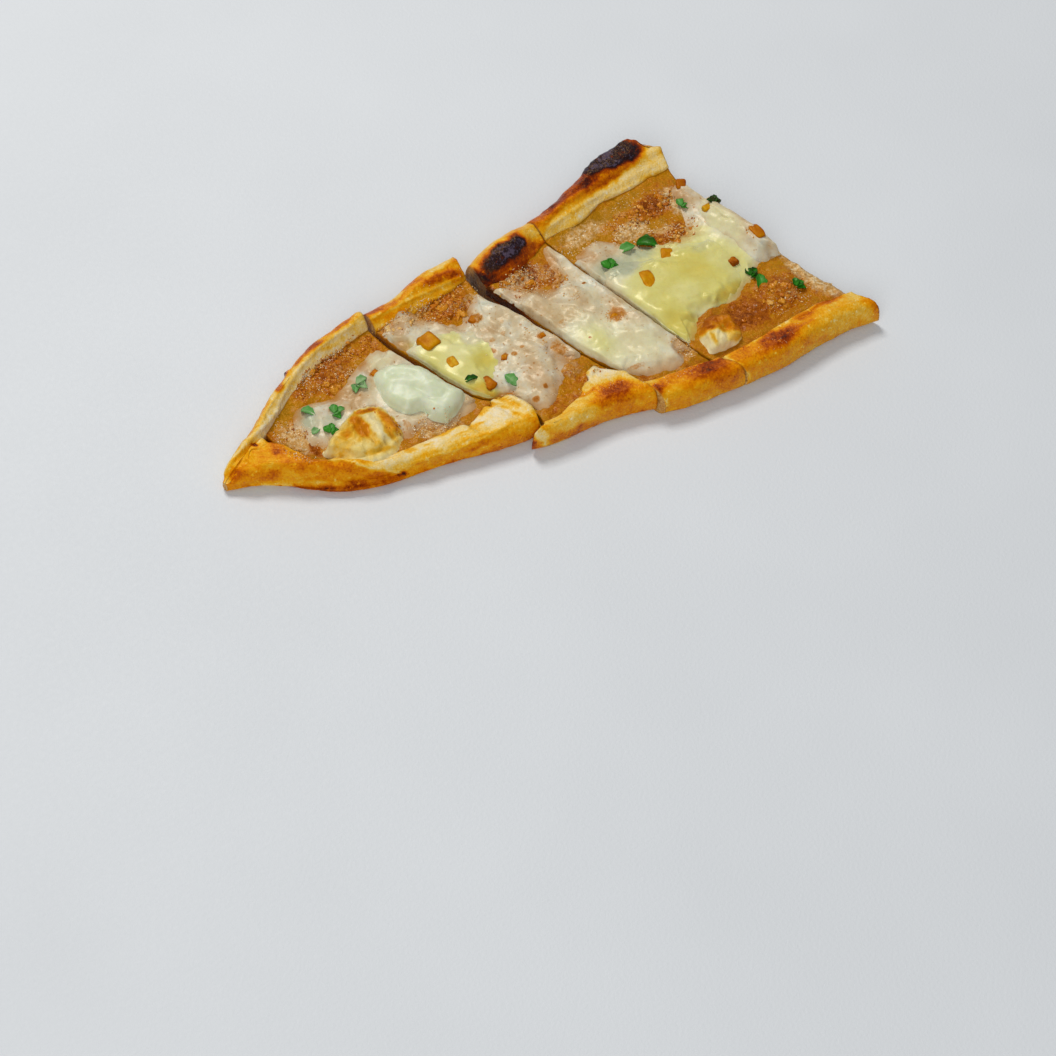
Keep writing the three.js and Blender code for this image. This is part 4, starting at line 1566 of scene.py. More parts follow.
class Unit:
    """Points and faces of a ball made from a twenty-sided one."""

    @staticmethod
    def ball(splits: int) -> tuple[np.ndarray, np.ndarray]:
        """A ball of radius 1.

        Args:
            splits: How often each face is split in four.

        Returns:
            Its points and triangles.
        """
        t = (1 + 5**0.5) / 2
        points = [
            (-1, t, 0), (1, t, 0), (-1, -t, 0), (1, -t, 0), (0, -1, t), (0, 1, t), (0, -1, -t), (0, 1, -t),
            (t, 0, -1), (t, 0, 1), (-t, 0, -1), (-t, 0, 1),
        ]
        faces = [
            (0, 11, 5), (0, 5, 1), (0, 1, 7), (0, 7, 10), (0, 10, 11), (1, 5, 9), (5, 11, 4), (11, 10, 2),
            (10, 7, 6), (7, 1, 8), (3, 9, 4), (3, 4, 2), (3, 2, 6), (3, 6, 8), (3, 8, 9), (4, 9, 5),
            (2, 4, 11), (6, 2, 10), (8, 6, 7), (9, 8, 1),
        ]
        points = [np.array(p) / np.linalg.norm(p) for p in points]
        for _ in range(splits):
            halves: dict[tuple[int, int], int] = {}

            def half(a: int, b: int) -> int:
                """Point halfway between two, made if it is new.

                Args:
                    a: Index of the one.
                    b: Index of the other.

                Returns:
                    Its index.
                """
                key = (min(a, b), max(a, b))
                if key not in halves:
                    middle = points[a] + points[b]
                    points.append(middle / np.linalg.norm(middle))
                    halves[key] = len(points) - 1
                return halves[key]

            faces = [
                part
                for a, b, c in faces
                for ab, bc, ca in [(half(a, b), half(b, c), half(c, a))]
                for part in ((a, ab, ca), (ab, b, bc), (ca, bc, c), (ab, bc, ca))
            ]
        return np.array(points), np.array(faces)


def turned(rng: np.random.Generator, count: int) -> np.ndarray:
    """Random turns in space.

    Args:
        rng: Where they are drawn from.
        count: How many.

    Returns:
        One matrix each.
    """
    q = rng.normal(size=(count, 4))
    q /= np.linalg.norm(q, axis=1, keepdims=True)
    w, x, y, z = q.T
    rows = [
        [1 - 2 * (y * y + z * z), 2 * (x * y - z * w), 2 * (x * z + y * w)],
        [2 * (x * y + z * w), 1 - 2 * (x * x + z * z), 2 * (y * z - x * w)],
        [2 * (x * z - y * w), 2 * (y * z + x * w), 1 - 2 * (x * x + y * y)],
    ]
    return np.array(rows).transpose(2, 0, 1)


def settled(seen: np.ndarray, ground: Ground) -> np.ndarray:
    """Points on the ground that seem to lie at places.

    Args:
        seen: The seen places.
        ground: What is there.

    Returns:
        The points.
    """
    at = seen.copy()
    for _ in range(SETTLING):
        height = ground.at(at[:, 0], at[:, 1], 0)
        at = seen - (height[:, None] - SEEN_LEVEL) * SEEN_LEAN
    return np.column_stack([at, ground.at(at[:, 0], at[:, 1], 0)])


@dataclass(frozen=True)
class Grains:
    """Grains strewn in ragged patches.

    Attributes:
        name: The piece's name.
        patches: Where they lie.
        seed: Chooses them.
        splits: How finely each is rounded.
        dented: How dented they are.
        flat: Their height, as a share of their width.
    """

    name: str
    patches: tuple[Patch, ...]
    seed: int
    splits: int = 1
    dented: float = 0.22
    flat: float = 1.0

    SPARSE = -0.1  # grains are left out where a noise is lower than this
    CLUSTERS = ((5, 0.9), (2.0, 0.7))  # that noise
    FRINGE = 1.5  # square of how far past its oval a patch's grains are strewn
    LOWEST = 5.0  # they lie on ground at least this high
    CLEAR = 1.2  # so far round them
    SUNK = (-0.4, 0.05)  # how high their middles lie, in sizes
    SHAPES = 40  # differently dented grains

    def strewn(self, rng: np.random.Generator) -> tuple[np.ndarray, np.ndarray, np.ndarray]:
        """Draws the grains.

        Args:
            rng: Where they are drawn from.

        Returns:
            Their seen places, sizes and tones.
        """
        seen, size, tone = [], [], []
        for patch in self.patches:
            angle = rng.uniform(0, 2 * math.pi, patch.count)
            reach = np.sqrt(rng.uniform(0, self.FRINGE, patch.count))
            u, v = reach * np.cos(angle) * patch.long, reach * np.sin(angle) * patch.wide
            c, s = heading(patch.turn)
            seen.append(np.column_stack([patch.x + u * c - v * s, patch.y + u * s + v * c]))
            size.append(mix(*patch.size, rng.uniform(0, 1, patch.count) ** 3))
            tone.append(mix(*patch.tone, rng.uniform(0, 1, patch.count)))
        seen, size, tone = (np.concatenate(parts) for parts in (seen, size, tone))
        flat = np.column_stack([seen, np.zeros(len(seen))])
        keep = layered(flat, self.CLUSTERS, self.seed) > self.SPARSE
        return seen[keep], size[keep], tone[keep]

    def form(self, ground: Ground) -> Form:
        """Makes all grains that find firm ground.

        Args:
            ground: What is there.

        Returns:
            One mesh of many closed grains, with their tones.
        """
        rng = np.random.default_rng(self.seed)
        seen, size, tone = self.strewn(rng)
        at = settled(seen, ground)
        x, y = at[:, 0], at[:, 1]
        sides = ((1, 0), (-1, 0), (0, 1), (0, -1))
        around = [ground.at(x + self.CLEAR * a, y + self.CLEAR * b, 0) for a, b in sides]
        firm = np.min(around, axis=0) > self.LOWEST
        at, size, tone = at[firm], size[firm], tone[firm]
        count, shapes = len(size), min(len(size), self.SHAPES)
        at[:, 2] += size * self.flat * rng.uniform(*self.SUNK, count)
        ball, faces = Unit.ball(self.splits)
        stretch = rng.uniform(0.5, 1.0, (count, 1, 3)) * (size / 2)[:, None, None]
        bumps = np.stack([noise(ball * 1.5 + 9.7 * k, 1.0, self.seed + k) for k in range(shapes)])
        dents = 1 + 2.2 * self.dented * bumps[rng.integers(0, shapes, count)][:, :, None]
        points = np.einsum("nij,nkj->nki", turned(rng, count), ball[None] * stretch * dents)
        points = points * [1, 1, self.flat] + at[:, None]
        index = (np.arange(count)[:, None, None] * len(ball) + faces[None]).reshape(-1, 3)
        marks = {"tone": np.repeat(tone, len(ball))}
        return Form(points.reshape(-1, 3), np.column_stack([index, index[:, 2]]), marks)


@dataclass(frozen=True)
class Leaf:
    """Sprig of herb.

    Attributes:
        node: The CAD node that carries it.
        x: Seen place along the bread.
        y: Seen place across it.
        length: Its length.
        width: Its width.
        turn: Where it points, in degrees.
        slope: How far it rises that way, in degrees.
        tone: How dark it is.
        leaflets: How many leaflets fan out from its stalk.
    """

    node: str
    x: float
    y: float
    length: float
    width: float
    turn: float
    slope: float
    tone: float = 0.6
    leaflets: int = 1

    ROWS = 19
    COLUMNS = 11
    THICK = 0.24
    FAN = 62  # degrees between leaflets
    LEAFLET = (0.66, 0.62)  # a leaflet's length and width, as shares of the sprig's

    def blade(self, place: np.ndarray, length: float, width: float, turn: float, tone: float) -> Form:
        """One leaflet: a folded, wavy blade.

        Args:
            place: Where its stalk begins.
            length: Its length.
            width: Its width.
            turn: Where it points, in degrees.
            tone: How dark it is.

        Returns:
            The closed mesh.
        """
        u, v = np.meshgrid(np.linspace(0, 1, self.ROWS), np.linspace(-1, 1, self.COLUMNS), indexing="ij")
        notched = 1 + 0.1 * np.sin(17 * u + turn + 1.5 * np.sign(v))
        half = 0.5 * width * np.maximum(np.sin(math.pi * u**0.72), 0.02) ** 0.8 * notched
        x, y = length * u, v * half
        wave = 0.2 * np.sin(6 * u + 2 * v + turn) * v * v
        vein = 0.14 * np.exp(-((v / 0.16) ** 2))
        z = 0.12 + 0.5 * v * v * half - 0.12 * length * (2 * u - 1) ** 2 + wave - vein
        z = z + 0.05 * length + (x - 0.5 * length) * heading(self.slope)[1]
        c, s = heading(turn)
        upper = np.stack([place[0] + x * c - y * s, place[1] + x * s + y * c, place[2] + z], -1)
        return slab(upper, upper - [0, 0, self.THICK], 2, {"tone": tone + 0.14 * np.abs(v)}, 0.05)

    def form(self, ground: Ground) -> Form:
        """Lays the sprig on what is there.

        Args:
            ground: What is there.

        Returns:
            The mesh of its leaflets.
        """
        base = settled(np.array([[self.x, self.y]]), ground)[0]
        ahead = np.array([*heading(self.turn), 0])
        if self.leaflets == 1:
            return self.blade(base - 0.5 * self.length * ahead, self.length, self.width, self.turn, self.tone)
        stalk = base - 0.2 * self.length * ahead
        long, wide = self.LEAFLET
        made = []
        for k in range(self.leaflets):
            side = k - (self.leaflets - 1) / 2
            size = self.length * (long - 0.06 * abs(side) + 0.05 * math.sin(3 * k + self.x))
            rise = np.array([0, 0, 0.22 * k])
            tone = self.tone + 0.12 * math.sin(5 * k)
            made.append(self.blade(stalk + rise, size, self.width * wide, self.turn + self.FAN * side, tone))
        return together(made)


@dataclass(frozen=True)
class Dice:
    """Dice of pepper.

    Attributes:
        node: The CAD node that carries it.
        x: Seen place along the bread.
        y: Seen place across it.
        length: Its length.
        width: Its width.
        turn: Turn in degrees.
        height: Half its height.
        tone: How deep its colour is.
    """

    node: str
    x: float
    y: float
    length: float
    width: float
    turn: float
    height: float = 1.2
    tone: float = 0.5

    SQUARE = 6.0  # 2 is an egg, and more is boxier
    HALF = 0.46  # half its worn sides, as a share of their full length
    SUNK = 0.7  # how deep its middle lies

    def form(self, ground: Ground) -> Form:
        """Sets a worn, uneven block half sunk into what is there.

        Args:
            ground: What is there.

        Returns:
            Its mesh.
        """
        ball, faces = Unit.ball(3)
        block = ball / np.sum(np.abs(ball) ** self.SQUARE, axis=1, keepdims=True) ** (1 / self.SQUARE)
        worn = 1 + 0.12 * noise(block * 1.2 + self.x, 1.0, 5) + 0.04 * noise(block * 4 + self.y, 1.0, 6)
        block = block * worn[:, None]
        x, y, z = (block * [self.HALF * self.length, self.HALF * self.width, self.height]).T
        c, s = heading(self.turn)
        base = settled(np.array([[self.x, self.y]]), ground)[0]
        up = base[2] - self.SUNK + z + 0.06 * x
        points = np.column_stack([base[0] + x * c - y * s, base[1] + x * s + y * c, up])
        tone = np.clip(self.tone + 0.3 * noise(points, 2.4, 8) + 0.1 * (block[:, 0] > 0.8), 0, 1)
        return Form(points, np.column_stack([faces, faces[:, 2]]), {"tone": tone})


def together(forms: Sequence[Form]) -> Form:
    """Joins forms.

    Args:
        forms: The forms, which have the same marks.

    Returns:
        One mesh of them all.
    """
    starts = np.cumsum([0, *(len(form.points) for form in forms[:-1])])
    return Form(
        np.concatenate([form.points for form in forms]),
        np.concatenate([form.faces + start for form, start in zip(forms, starts)]),
        {name: np.concatenate([form.marks[name] for form in forms]) for name in forms[0].marks},
    )


# ---- What the bread is made of -------------------------------------------------------------------

PLANS = {
    "slice_1": Plan(
        left=[(0.4, -0.2), (0.9, -2.4)],
        right=[
            (66.5, 34.8), (68, 21), (73, 6), (78, -7), (83.5, -15.6), (91.3, -21), (93.6, -27),
            (93.2, -33.4),
        ],
        far=[(5, 4.2), (10, 7.4), (17, 11), (25, 17.7), (35, 24.3), (45, 29.3), (55, 32.3)],
        near=[(8, -5.6), (13.5, -8.3), (23.5, -17), (33, -22.4), (43, -25.8), (63, -28.6), (83, -32.6)],
        rims=[
            (0, 1.1, 3.4, 1.1, 3.4, 0), (0.1, 4, 7, 6.5, 7.5, 0.3), (0.2, 5, 9, 15.5, 9, 1.6),
            (0.27, 5.8, 9.8, 20, 9.4, 2.6), (0.3, 6, 10, 19.4, 9.5, 3), (0.33, 6.1, 10, 16.4, 9.4, 3),
            (0.36, 6.3, 10, 12.8, 9.2, 3), (0.4, 6.5, 10, 10.5, 9, 3), (0.5, 7, 10, 6.5, 8, 2),
            (0.65, 7.5, 10.5, 7, 8, 0.5), (0.8, 7.5, 11, 9, 8.5, 0), (1, 7.5, 11, 18, 9.2, 0),
        ],
        first=0.3,
    ),
    "slice_2": Plan(
        left=[
            (68.4, 33.6), (69.9, 21.5), (74.6, 7), (79, -6.2), (84.2, -14.7), (92.1, -20.2), (94.7, -27),
            (94.8, -32.4), (92.8, -35.4), (88, -36.8),
        ],
        right=[
            (105, 40.3), (105.2, 28), (106.4, 17), (111.6, 7), (116.6, -6), (119.6, -15), (125, -27),
            (127.6, -35), (130.3, -43),
        ],
        far=[(80, 34.4), (88, 37.4), (96, 39.2)],
        near=[(93, -38), (99, -38.7), (108, -39), (116, -39.6), (124, -41.2)],
        rims=[
            (0, 7.5, 10, 7, 9.5, 0), (0.4, 9, 10.5, 9.5, 10, 0), (0.6, 10.5, 11, 13, 10, 0),
            (0.8, 11, 11, 18, 9.8, 0), (1, 10, 11, 14, 10, 0),
        ],
    ),
    "slice_3": Plan(
        left=[
            (107.6, 34.6), (108.7, 25), (111.2, 16.5), (114.5, 6.2), (117.9, -6), (120.8, -15.7),
            (126.1, -26.9), (128.6, -35.3), (131.4, -46),
        ],
        right=[
            (133.6, 40.6), (136, 31), (138.3, 20), (140.7, 8), (143.6, -3), (146.5, -15), (149.5, -26),
            (153.5, -38), (159.8, -49.4),
        ],
        far=[(115, 37), (125, 38.8)], near=[(140, -48), (150, -48.9)],
        rims=[
            (0, 11, 10.5, 9.5, 10, 0), (0.35, 14.5, 12.5, 10.5, 10, 0), (0.7, 12, 12, 10.5, 10.2, 0),
            (1, 10, 11, 10, 10, 0),
        ],
    ),
    "slice_4": Plan(
        left=[
            (134.2, 41), (136.6, 31.2), (138.9, 20.2), (141.3, 8.2), (144.2, -2.8), (147.1, -14.8),
            (150.1, -25.8), (154.1, -37.8), (160.5, -49.6),
        ],
        right=[
            (181, 52.4), (187, 49.8), (191.2, 46.2), (190.6, 33), (194, 15), (198, 0), (201.5, -17),
            (205.6, -30), (208.3, -39), (213.3, -49.3),
        ],
        far=[(145, 42.8), (152, 45.8), (160, 48.3), (167, 50.2), (174, 51.6)],
        near=[(173, -50), (183, -49.2), (193, -48.4), (203, -48.2)],
        rims=[
            (0, 10, 11, 10, 10, 0), (0.4, 13, 12, 10.5, 10.5, 0), (0.8, 18, 12.8, 10.5, 10.3, 0),
            (1, 19.5, 12.6, 11, 9.6, 0),
        ],
    ),
}

CRUSTS = (
    Crust(
        "slice_1", PLANS["slice_1"],
        marks=(
            Spot(16, -5, 13, 8, -30, 0.42, 0, 0.3), Spot(33, -18, 14, 4.4, -42, 0.45, 0, 0.3),
            Spot(5, -3.4, 3.2, 2.2, 0, 0.58), Spot(12, -7.6, 3.6, 2.4, -20, 0.54),
            Spot(24, -9, 5, 3, -35, 0.52), Spot(20, 0.5, 3, 4, 0, 0.52), Spot(19, -1, 1.2, 1.6, 0, 0.66),
            Spot(34, -18, 7, 1.6, -42, 0.52), Spot(15, -4, 2.4, 3, 20, 0.34),
            Fold([(8, -10.4), (14, -13), (21, -16.8), (29, -20.8)], 1.1, 0.18, 0.8),
            Spot(12, 2.6, 4, 2, 20, 0.36),
            # These two folds paint the foot of the tip's flap: a brown band of base crust and a dark line in
            # the crease, partly the crust's own brown and partly painted shade under the overhanging flap
            Fold([(14, -15.6), (20, -19.4), (30, -24.4), (38, -27.4), (46, -29)], 1.7, 0.6, 0.95),
            Fold([(10, -12), (20, -17.4), (30, -21.8), (38, -25), (46, -27.6)], 0.5, 0.78, 0.8, -0.7),
            Fold([(44, -21.6), (54, -22.4), (64, -23), (72, -23.6), (82, -24.4), (91, -25)], 3.6, 0.1, 1.0),
            Fold([(48, -28.6), (60, -28.6), (74, -31), (90, -32.4)], 1.9, 0.42, 0.95),
            Fold([(48, -30.8), (60, -31.4), (76, -34.4), (90, -37.4)], 0.8, 0.6, 0.8),
            Spot(72, -29.6, 5, 1, -8, 0.56), Spot(88, -32, 3, 2.6, 0, 0.34),
            Spot(28, 17.4, 5, 1.3, 42, 0.2), Spot(45, 29.4, 4, 0.8, 22, 0.5), Spot(50, 25, 8, 2.2, 20, 0.1),
            Spot(33, 21, 3, 1, 42, 0.6), Spot(24, 12, 4, 1, 40, 0.14), Spot(48, 29, 4, 1.5, 22, 0.68),
            Spot(42, 26.6, 2.6, 1, 28, 0.56), Spot(36.4, 25, 1.3, 1, 30, 0.82, 0.5),
            Spot(61, 33.4, 5, 1.2, 14, 0.56), Spot(40, 22.5, 4, 1, 34, 0.14),
            Spot(54, 27.4, 5, 1, 14, 0.24), Spot(15, 3.8, 0.9, 0.7, 0, 0.78),
            Spot(46.5, -27.4, 1.8, 0.8, 0, 0.9), Spot(40, -24.6, 4, 1.4, -24, 0.58),
            Spot(80, -20.5, 8, 5.6, -18, 0.05), Spot(79, -16, 3, 1.2, -20, 0.32),
            Spot(89.6, -21, 1.6, 5, 25, 0.28), Spot(93.4, -22, 1, 4.4, 20, 0.1),
            Spot(66, -21, 5, 0.8, -8, 0.3), Spot(54, -21.5, 2, 0.9, -30, 0.34),
            Spot(49, -19.5, 3, 0.8, -20, 0.3), Spot(70, -24.6, 3, 0.6, -8, 0.3),
            Spot(76, -24, 2.4, 0.7, 10, 0.32), Spot(84, -19, 1.4, 1.0, 10, 0.4),
            Spot(60, -22.6, 2.2, 0.6, 0, 0.26),
            Fold([(1, -0.5), (6, 3), (12, 5.8), (20, 9.2), (26, 12.6)], 0.9, 0.04, 0.8, 0.6),
            Fold([(26, 12.6), (33, 18.4), (42, 24.4), (52, 28.6), (64, 31)], 0.8, 0.1, 0.5, 0.4),
            Fold([(21, 6.5), (24, 0), (27, -6), (32, -12), (38, -18.4), (46, -26.4)], 0.6, 0.14, 0.8, 0.5),
            Fold([(46, -26), (54, -26.4), (64, -28), (74, -29), (88, -28.4)], 0.5, 0.2, 0.5, 0.4),
            Fold([(77.5, -15.6), (82, -17.2), (86.4, -20.6), (88.6, -26.6)], 0.7, 0.36, 0.9, -1.1),
            Fold([(81, -13.4), (87, -15.6), (91, -19.2), (93.6, -26)], 1.0, 0.16, 0.7, 1.0),
            Fold([(84, -15.4), (88.6, -18.4), (91.6, -24)], 0.5, 0.4, 0.8, -0.6),
            Fold([(70, -17), (74, -21), (76, -26)], 0.7, 0.34, 0.7, -0.8),
            Fold([(70, -26.6), (80, -28.4), (92, -29)], 0.5, 0.36, 0.8, 0.3),
            Spot(81, -19.4, 3, 1.2, 20, 0.34), Spot(78, -16.4, 2, 0.8, -30, 0.4),
            Spot(74, -24.6, 1.6, 1, 0, 0.3), Spot(86, -24.6, 2, 1, 30, 0.02),
            # dark groove along the flap's foot: partly browned crust, partly painted shade in that crease
            Fold([(22, -19), (30, -23.6), (38, -26.6)], 0.4, 0.8, 0.6, -0.3),
        ),
        far_bake=(0.32, 0.44, 0.3, 0.16, 0.1, 0.14), near_bake=(0.5, 0.44, 0.4, 0.14, 0.1, 0.12), seed=3,
    ),
    Crust(
        "slice_2", PLANS["slice_2"],
        marks=(
            Spot(73, 33.6, 4.4, 1.8, 4, 0.62), Spot(88, 36.8, 5, 1.5, 14, 0.54),
            Spot(97, 34.4, 6, 1.5, 0, 0.66, 0.4), Spot(103, 33, 2.6, 2.6, 0, 0.6, 0.4),
            Spot(100, 38.6, 6, 1.4, 10, 0.2), Spot(82, 34.6, 4, 1, 10, 0.2),
            Spot(84, 30.6, 12, 1.2, 4, 0.4), Spot(103, -34.5, 9, 5, -6, 0.27, 0, 0.3),
            Spot(120, -34.5, 7.5, 5, -14, 0.58, 0, 0.5), Spot(121, -34, 5, 2.8, -14, 0.68),
            Spot(108, -29.6, 13, 0.9, -2, 0.5), Spot(100, -41, 12, 1.2, -2, 0.56),
            # Spot(86, -38) darkens slice 2's near rim and cut face where it sits under slice 1's end: partly
            # baked crust, partly painted shade
            Spot(96, -30, 2, 1.4, 0, 0.56), Spot(86, -38, 2.6, 1.6, 0, 0.76),
            Spot(90.6, -35.6, 1.6, 3.4, 10, 0.16), Spot(118, -24, 9, 4, -26, 0.14, 0, 0.4),
            Spot(110, -24.5, 4, 1.6, -24, 0.42), Spot(122, -26, 5, 2.4, -20, 0.06),
            Spot(115, -22.6, 3, 0.8, -24, 0.42), Spot(121, -21, 2.4, 0.8, -20, 0.36),
            Spot(103, -31, 3, 1.4, 0, 0.22), Spot(126, -38, 2, 4, 0, 0.44),
            Fold([(109, -24.6), (113, -22.2), (117, -20), (120, -18.6)], 0.7, 0.46, 0.8, 0.7),
            Fold([(112, -26.6), (118, -24), (122, -22.6), (126, -25)], 0.8, 0.04, 0.6, 0.9),
            Fold([(110.6, -26), (114.6, -23.6), (119, -21.6), (122, -20.6)], 0.6, 0.3, 0.7, -0.9),
            Fold([(96, -28.8), (104, -28.6), (116, -28.2), (128, -29.6)], 0.5, 0.24, 0.6, 0.4),
            Fold([(90, -33), (89.6, -36.5), (90.4, -40)], 0.9, 0.1, 0.8, 0.2),
            Fold([(70, 30.4), (84, 31), (96, 31.4), (104, 31.6)], 0.6, 0.2, 0.6, 0.3),
        ),
        far_bake=(0.34, 0.42, 0.46, 0.4, 0.36, 0.44), near_bake=(0.46, 0.36, 0.42, 0.14, 0.14, 0.16),
        seed=17,
    ),
    Crust(
        "slice_3", PLANS["slice_3"],
        marks=(
            Spot(121, 31.6, 12, 6, 24, 0.66, 0.9, 0.25), Spot(121.4, 32.4, 10, 4.2, 24, 0.96, 0.4, 0.25),
            Spot(117, 38.4, 12, 2, 8, 0.24), Spot(119, 26.2, 12, 2.8, 18, 0.68),
            # Spots at x 108 to 111 darken slice 3's cut face along the gap to slice 2: partly toasted crumb,
            # partly painted shade in the gap
            Spot(110, 24, 3.4, 5, 0, 0.8), Spot(108, 26.6, 3.0, 5.4, 0, 0.82),
            Spot(110.6, 14, 2.6, 11, 17, 0.72), Spot(134, 36.4, 4, 4, 30, 0.28),
            Spot(139, -38.6, 5, 2, -10, 0.5), Spot(150, -41, 7, 3.2, -6, 0.64),
            Spot(151, -40.4, 4.6, 1.6, -8, 0.74), Spot(133, -41, 2.4, 2.6, 0, 0.62),
            Spot(131.6, -40.4, 1.2, 2, 0, 0.74), Spot(140, -46.6, 9, 2, -8, 0.42),
            Spot(136, -43, 4, 2, 0, 0.36),
            Fold([(129.6, -33), (130.6, -40), (131.6, -47)], 0.6, 0.14, 0.6, 0.3),
            Fold([(130, -33.6), (138, -36.2), (147, -37.4), (156, -37.8)], 0.5, 0.24, 0.6, 0.4),
        ),
        far_bake=(0.26, 0.3, 0.4, 0.5, 0.56, 0.66), near_bake=(0.4, 0.48, 0.5, 0.4, 0.26, 0.2), seed=29,
    ),
    Crust(
        "slice_4", PLANS["slice_4"],
        marks=(
            Spot(148, 43, 13, 3, 16, 0.56), Spot(150, 44, 8, 2.2, 16, 0.74), Spot(146, 40.4, 2, 1, 0, 0.66),
            Spot(152, 42.4, 2.4, 1, 20, 0.64), Spot(158, 47, 7, 2.4, 18, 0.7),
            Spot(172, 45.4, 14, 3.0, 8, 0.64, 0, 0.4), Spot(165, 47, 6, 2.4, 12, 0.84),
            Spot(174.6, 51.4, 12, 5.6, 14, 0.7, 0.4, 0.2), Spot(174.6, 52, 11, 5, 14, 0.95, 0.6, 0.2),
            Spot(183, 51, 4, 4, 0, 0.92, 0.3), Spot(165, 37.6, 22, 2.8, 6, 0.14),
            Spot(150, 38, 5, 2.4, 10, 0.34), Spot(187, 43.0, 6, 3.6, -10, 0.14),
            Spot(190, 47.2, 3.4, 1.4, 10, 0.16, 0.5), Spot(192, 53.4, 3.4, 4, 30, 0.5, -2.4),
            Spot(181, 41.6, 10, 2.6, 3, 0.16, 0, 0.4), Spot(184, 38, 4, 2, 0, 0.32),
            Spot(177, -42.4, 8, 3.6, 4, 0.64, 0, 0.4), Spot(178, -42.2, 4.6, 2.2, 10, 0.74),
            Spot(164, -43, 5, 6, 0, 0.46), Spot(198, -45, 13, 5, 2, 0.33, 0, 0.3),
            Spot(199, -38, 8, 1.1, 6, 0.52), Spot(207, -45, 3.4, 5, 0, 0.28),
            Spot(190, -38.6, 5, 1.4, 0, 0.5), Spot(172, -48.6, 10, 1.2, 0, 0.44),
            Spot(158.6, -44, 1, 5, 8, 0.2),
            Fold([(156.6, -37.4), (157.4, -43), (159.6, -50)], 0.7, 0.16, 0.6, -0.5),
            Fold([(156, -37.6), (170, -37.2), (186, -36), (204, -33.8)], 0.5, 0.24, 0.6, 0.4),
            Fold([(188, -39), (198, -38), (206, -36.6)], 0.4, 0.62, 0.7, -0.3),
            Fold([(140, 38.4), (152, 42), (166, 44.6), (186, 46.6)], 1.0, 0.42, 0.5, 0.5),
            Fold([(141, 35.6), (156, 38.6), (172, 40.6), (188, 42)], 0.8, 0.12, 0.5, 0.3),
        ),
        far_bake=(0.34, 0.44, 0.5, 0.36, 0.22, 0.24), near_bake=(0.4, 0.46, 0.46, 0.3, 0.22, 0.2), seed=41,
    ),
)

FILLINGS = (
    Filling(
        "slice_1", PLANS["slice_1"],
        meat=(
            Spot(45, 18, 13, 6, 22, 0.5), Spot(61, 23, 6, 5, 10, 0.34), Spot(45.5, 12.5, 2.6, 3.2, 0, 0.45),
            Spot(28, 10.6, 6, 3.2, 34, 0.12), Spot(29, -6, 2, 3, 10, 0.6), Spot(38, 17, 3, 4, 10, 0.4),
        ),
        pale=(
            Spot(26, 1, 4, 8, 10, 0.7), Spot(28, 10.6, 6, 3.2, 34, -0.4), Spot(66, -17, 8, 4, 0, 0.7),
            Spot(52, 17, 3, 5, 20, 0.35), Spot(29, -6, 1.6, 2.4, 10, 0.1),
        ),
        seed=5,
    ),
    Filling(
        "slice_2", PLANS["slice_2"],
        meat=(Spot(94, 23, 7, 6, 0, 0.46), Spot(86, 27.6, 16, 2, 4, 0.45), Spot(116, -17, 5, 4, -20, 0.35)),
        pale=(
            Spot(78, 24, 8, 4, 10, 0.6), Spot(92, 25, 2.4, 2, 0, 0.4), Spot(96, 22, 2, 3, 0, 0.3),
            Spot(102, 20, 4, 4, 0, 0.6), Spot(113, -18, 4, 5, -20, 0.45),
        ),
        seed=15,
    ),
    Filling(
        "slice_3", PLANS["slice_3"],
        meat=(
            Spot(121, 22, 7, 6, 0, 0.7), Spot(130, 17, 5, 5, 0, 0.5), Spot(128, -28, 6, 3, 0, 0.02),
            # Spot(110, 16) darkens the filling along the cut to slice 2: partly mince, partly painted shade
            # in the gap
            Spot(110, 16, 2.4, 11, 17, 0.9),
        ),
        pale=(Spot(119, 21, 5, 4, 0, 0.55), Spot(149, -29, 4, 6, 0, 0.55), Spot(128, 20, 4, 4, 0, 0.4)),
        seed=25,
    ),
    Filling(
        "slice_4", PLANS["slice_4"],
        meat=(
            Spot(160, 31.4, 22, 3.4, 6, 0.02), Spot(180, 33, 5, 3, 0, 0.3),
            Spot(175, 26.6, 8, 4.6, 10, 0.6), Spot(175, 12, 8, 4, 0, 0.5), Spot(191, -27, 9, 7, 0, 0.45),
            Spot(175, -29, 8, 6, 0, 0.58), Spot(152, -30, 3, 7, 0, 0.3), Spot(163, -24, 6, 4, 20, 0.35),
            Spot(146, 24, 7, 5, 0, 0.1),
        ),
        pale=(
            Spot(149, 27.6, 11, 4, 8, 0.6), Spot(164, 20.6, 6, 4, 0, 0.75), Spot(193, -28, 5, 4, 0, 0.3),
            Spot(203.5, -26, 4.4, 13, 15, 0.85, 0.4), Spot(184, 24, 4, 8, 0, 0.9),
            Spot(173, 16, 5, 2, 0, 0.5),
        ),
        seed=35,
    ),
)

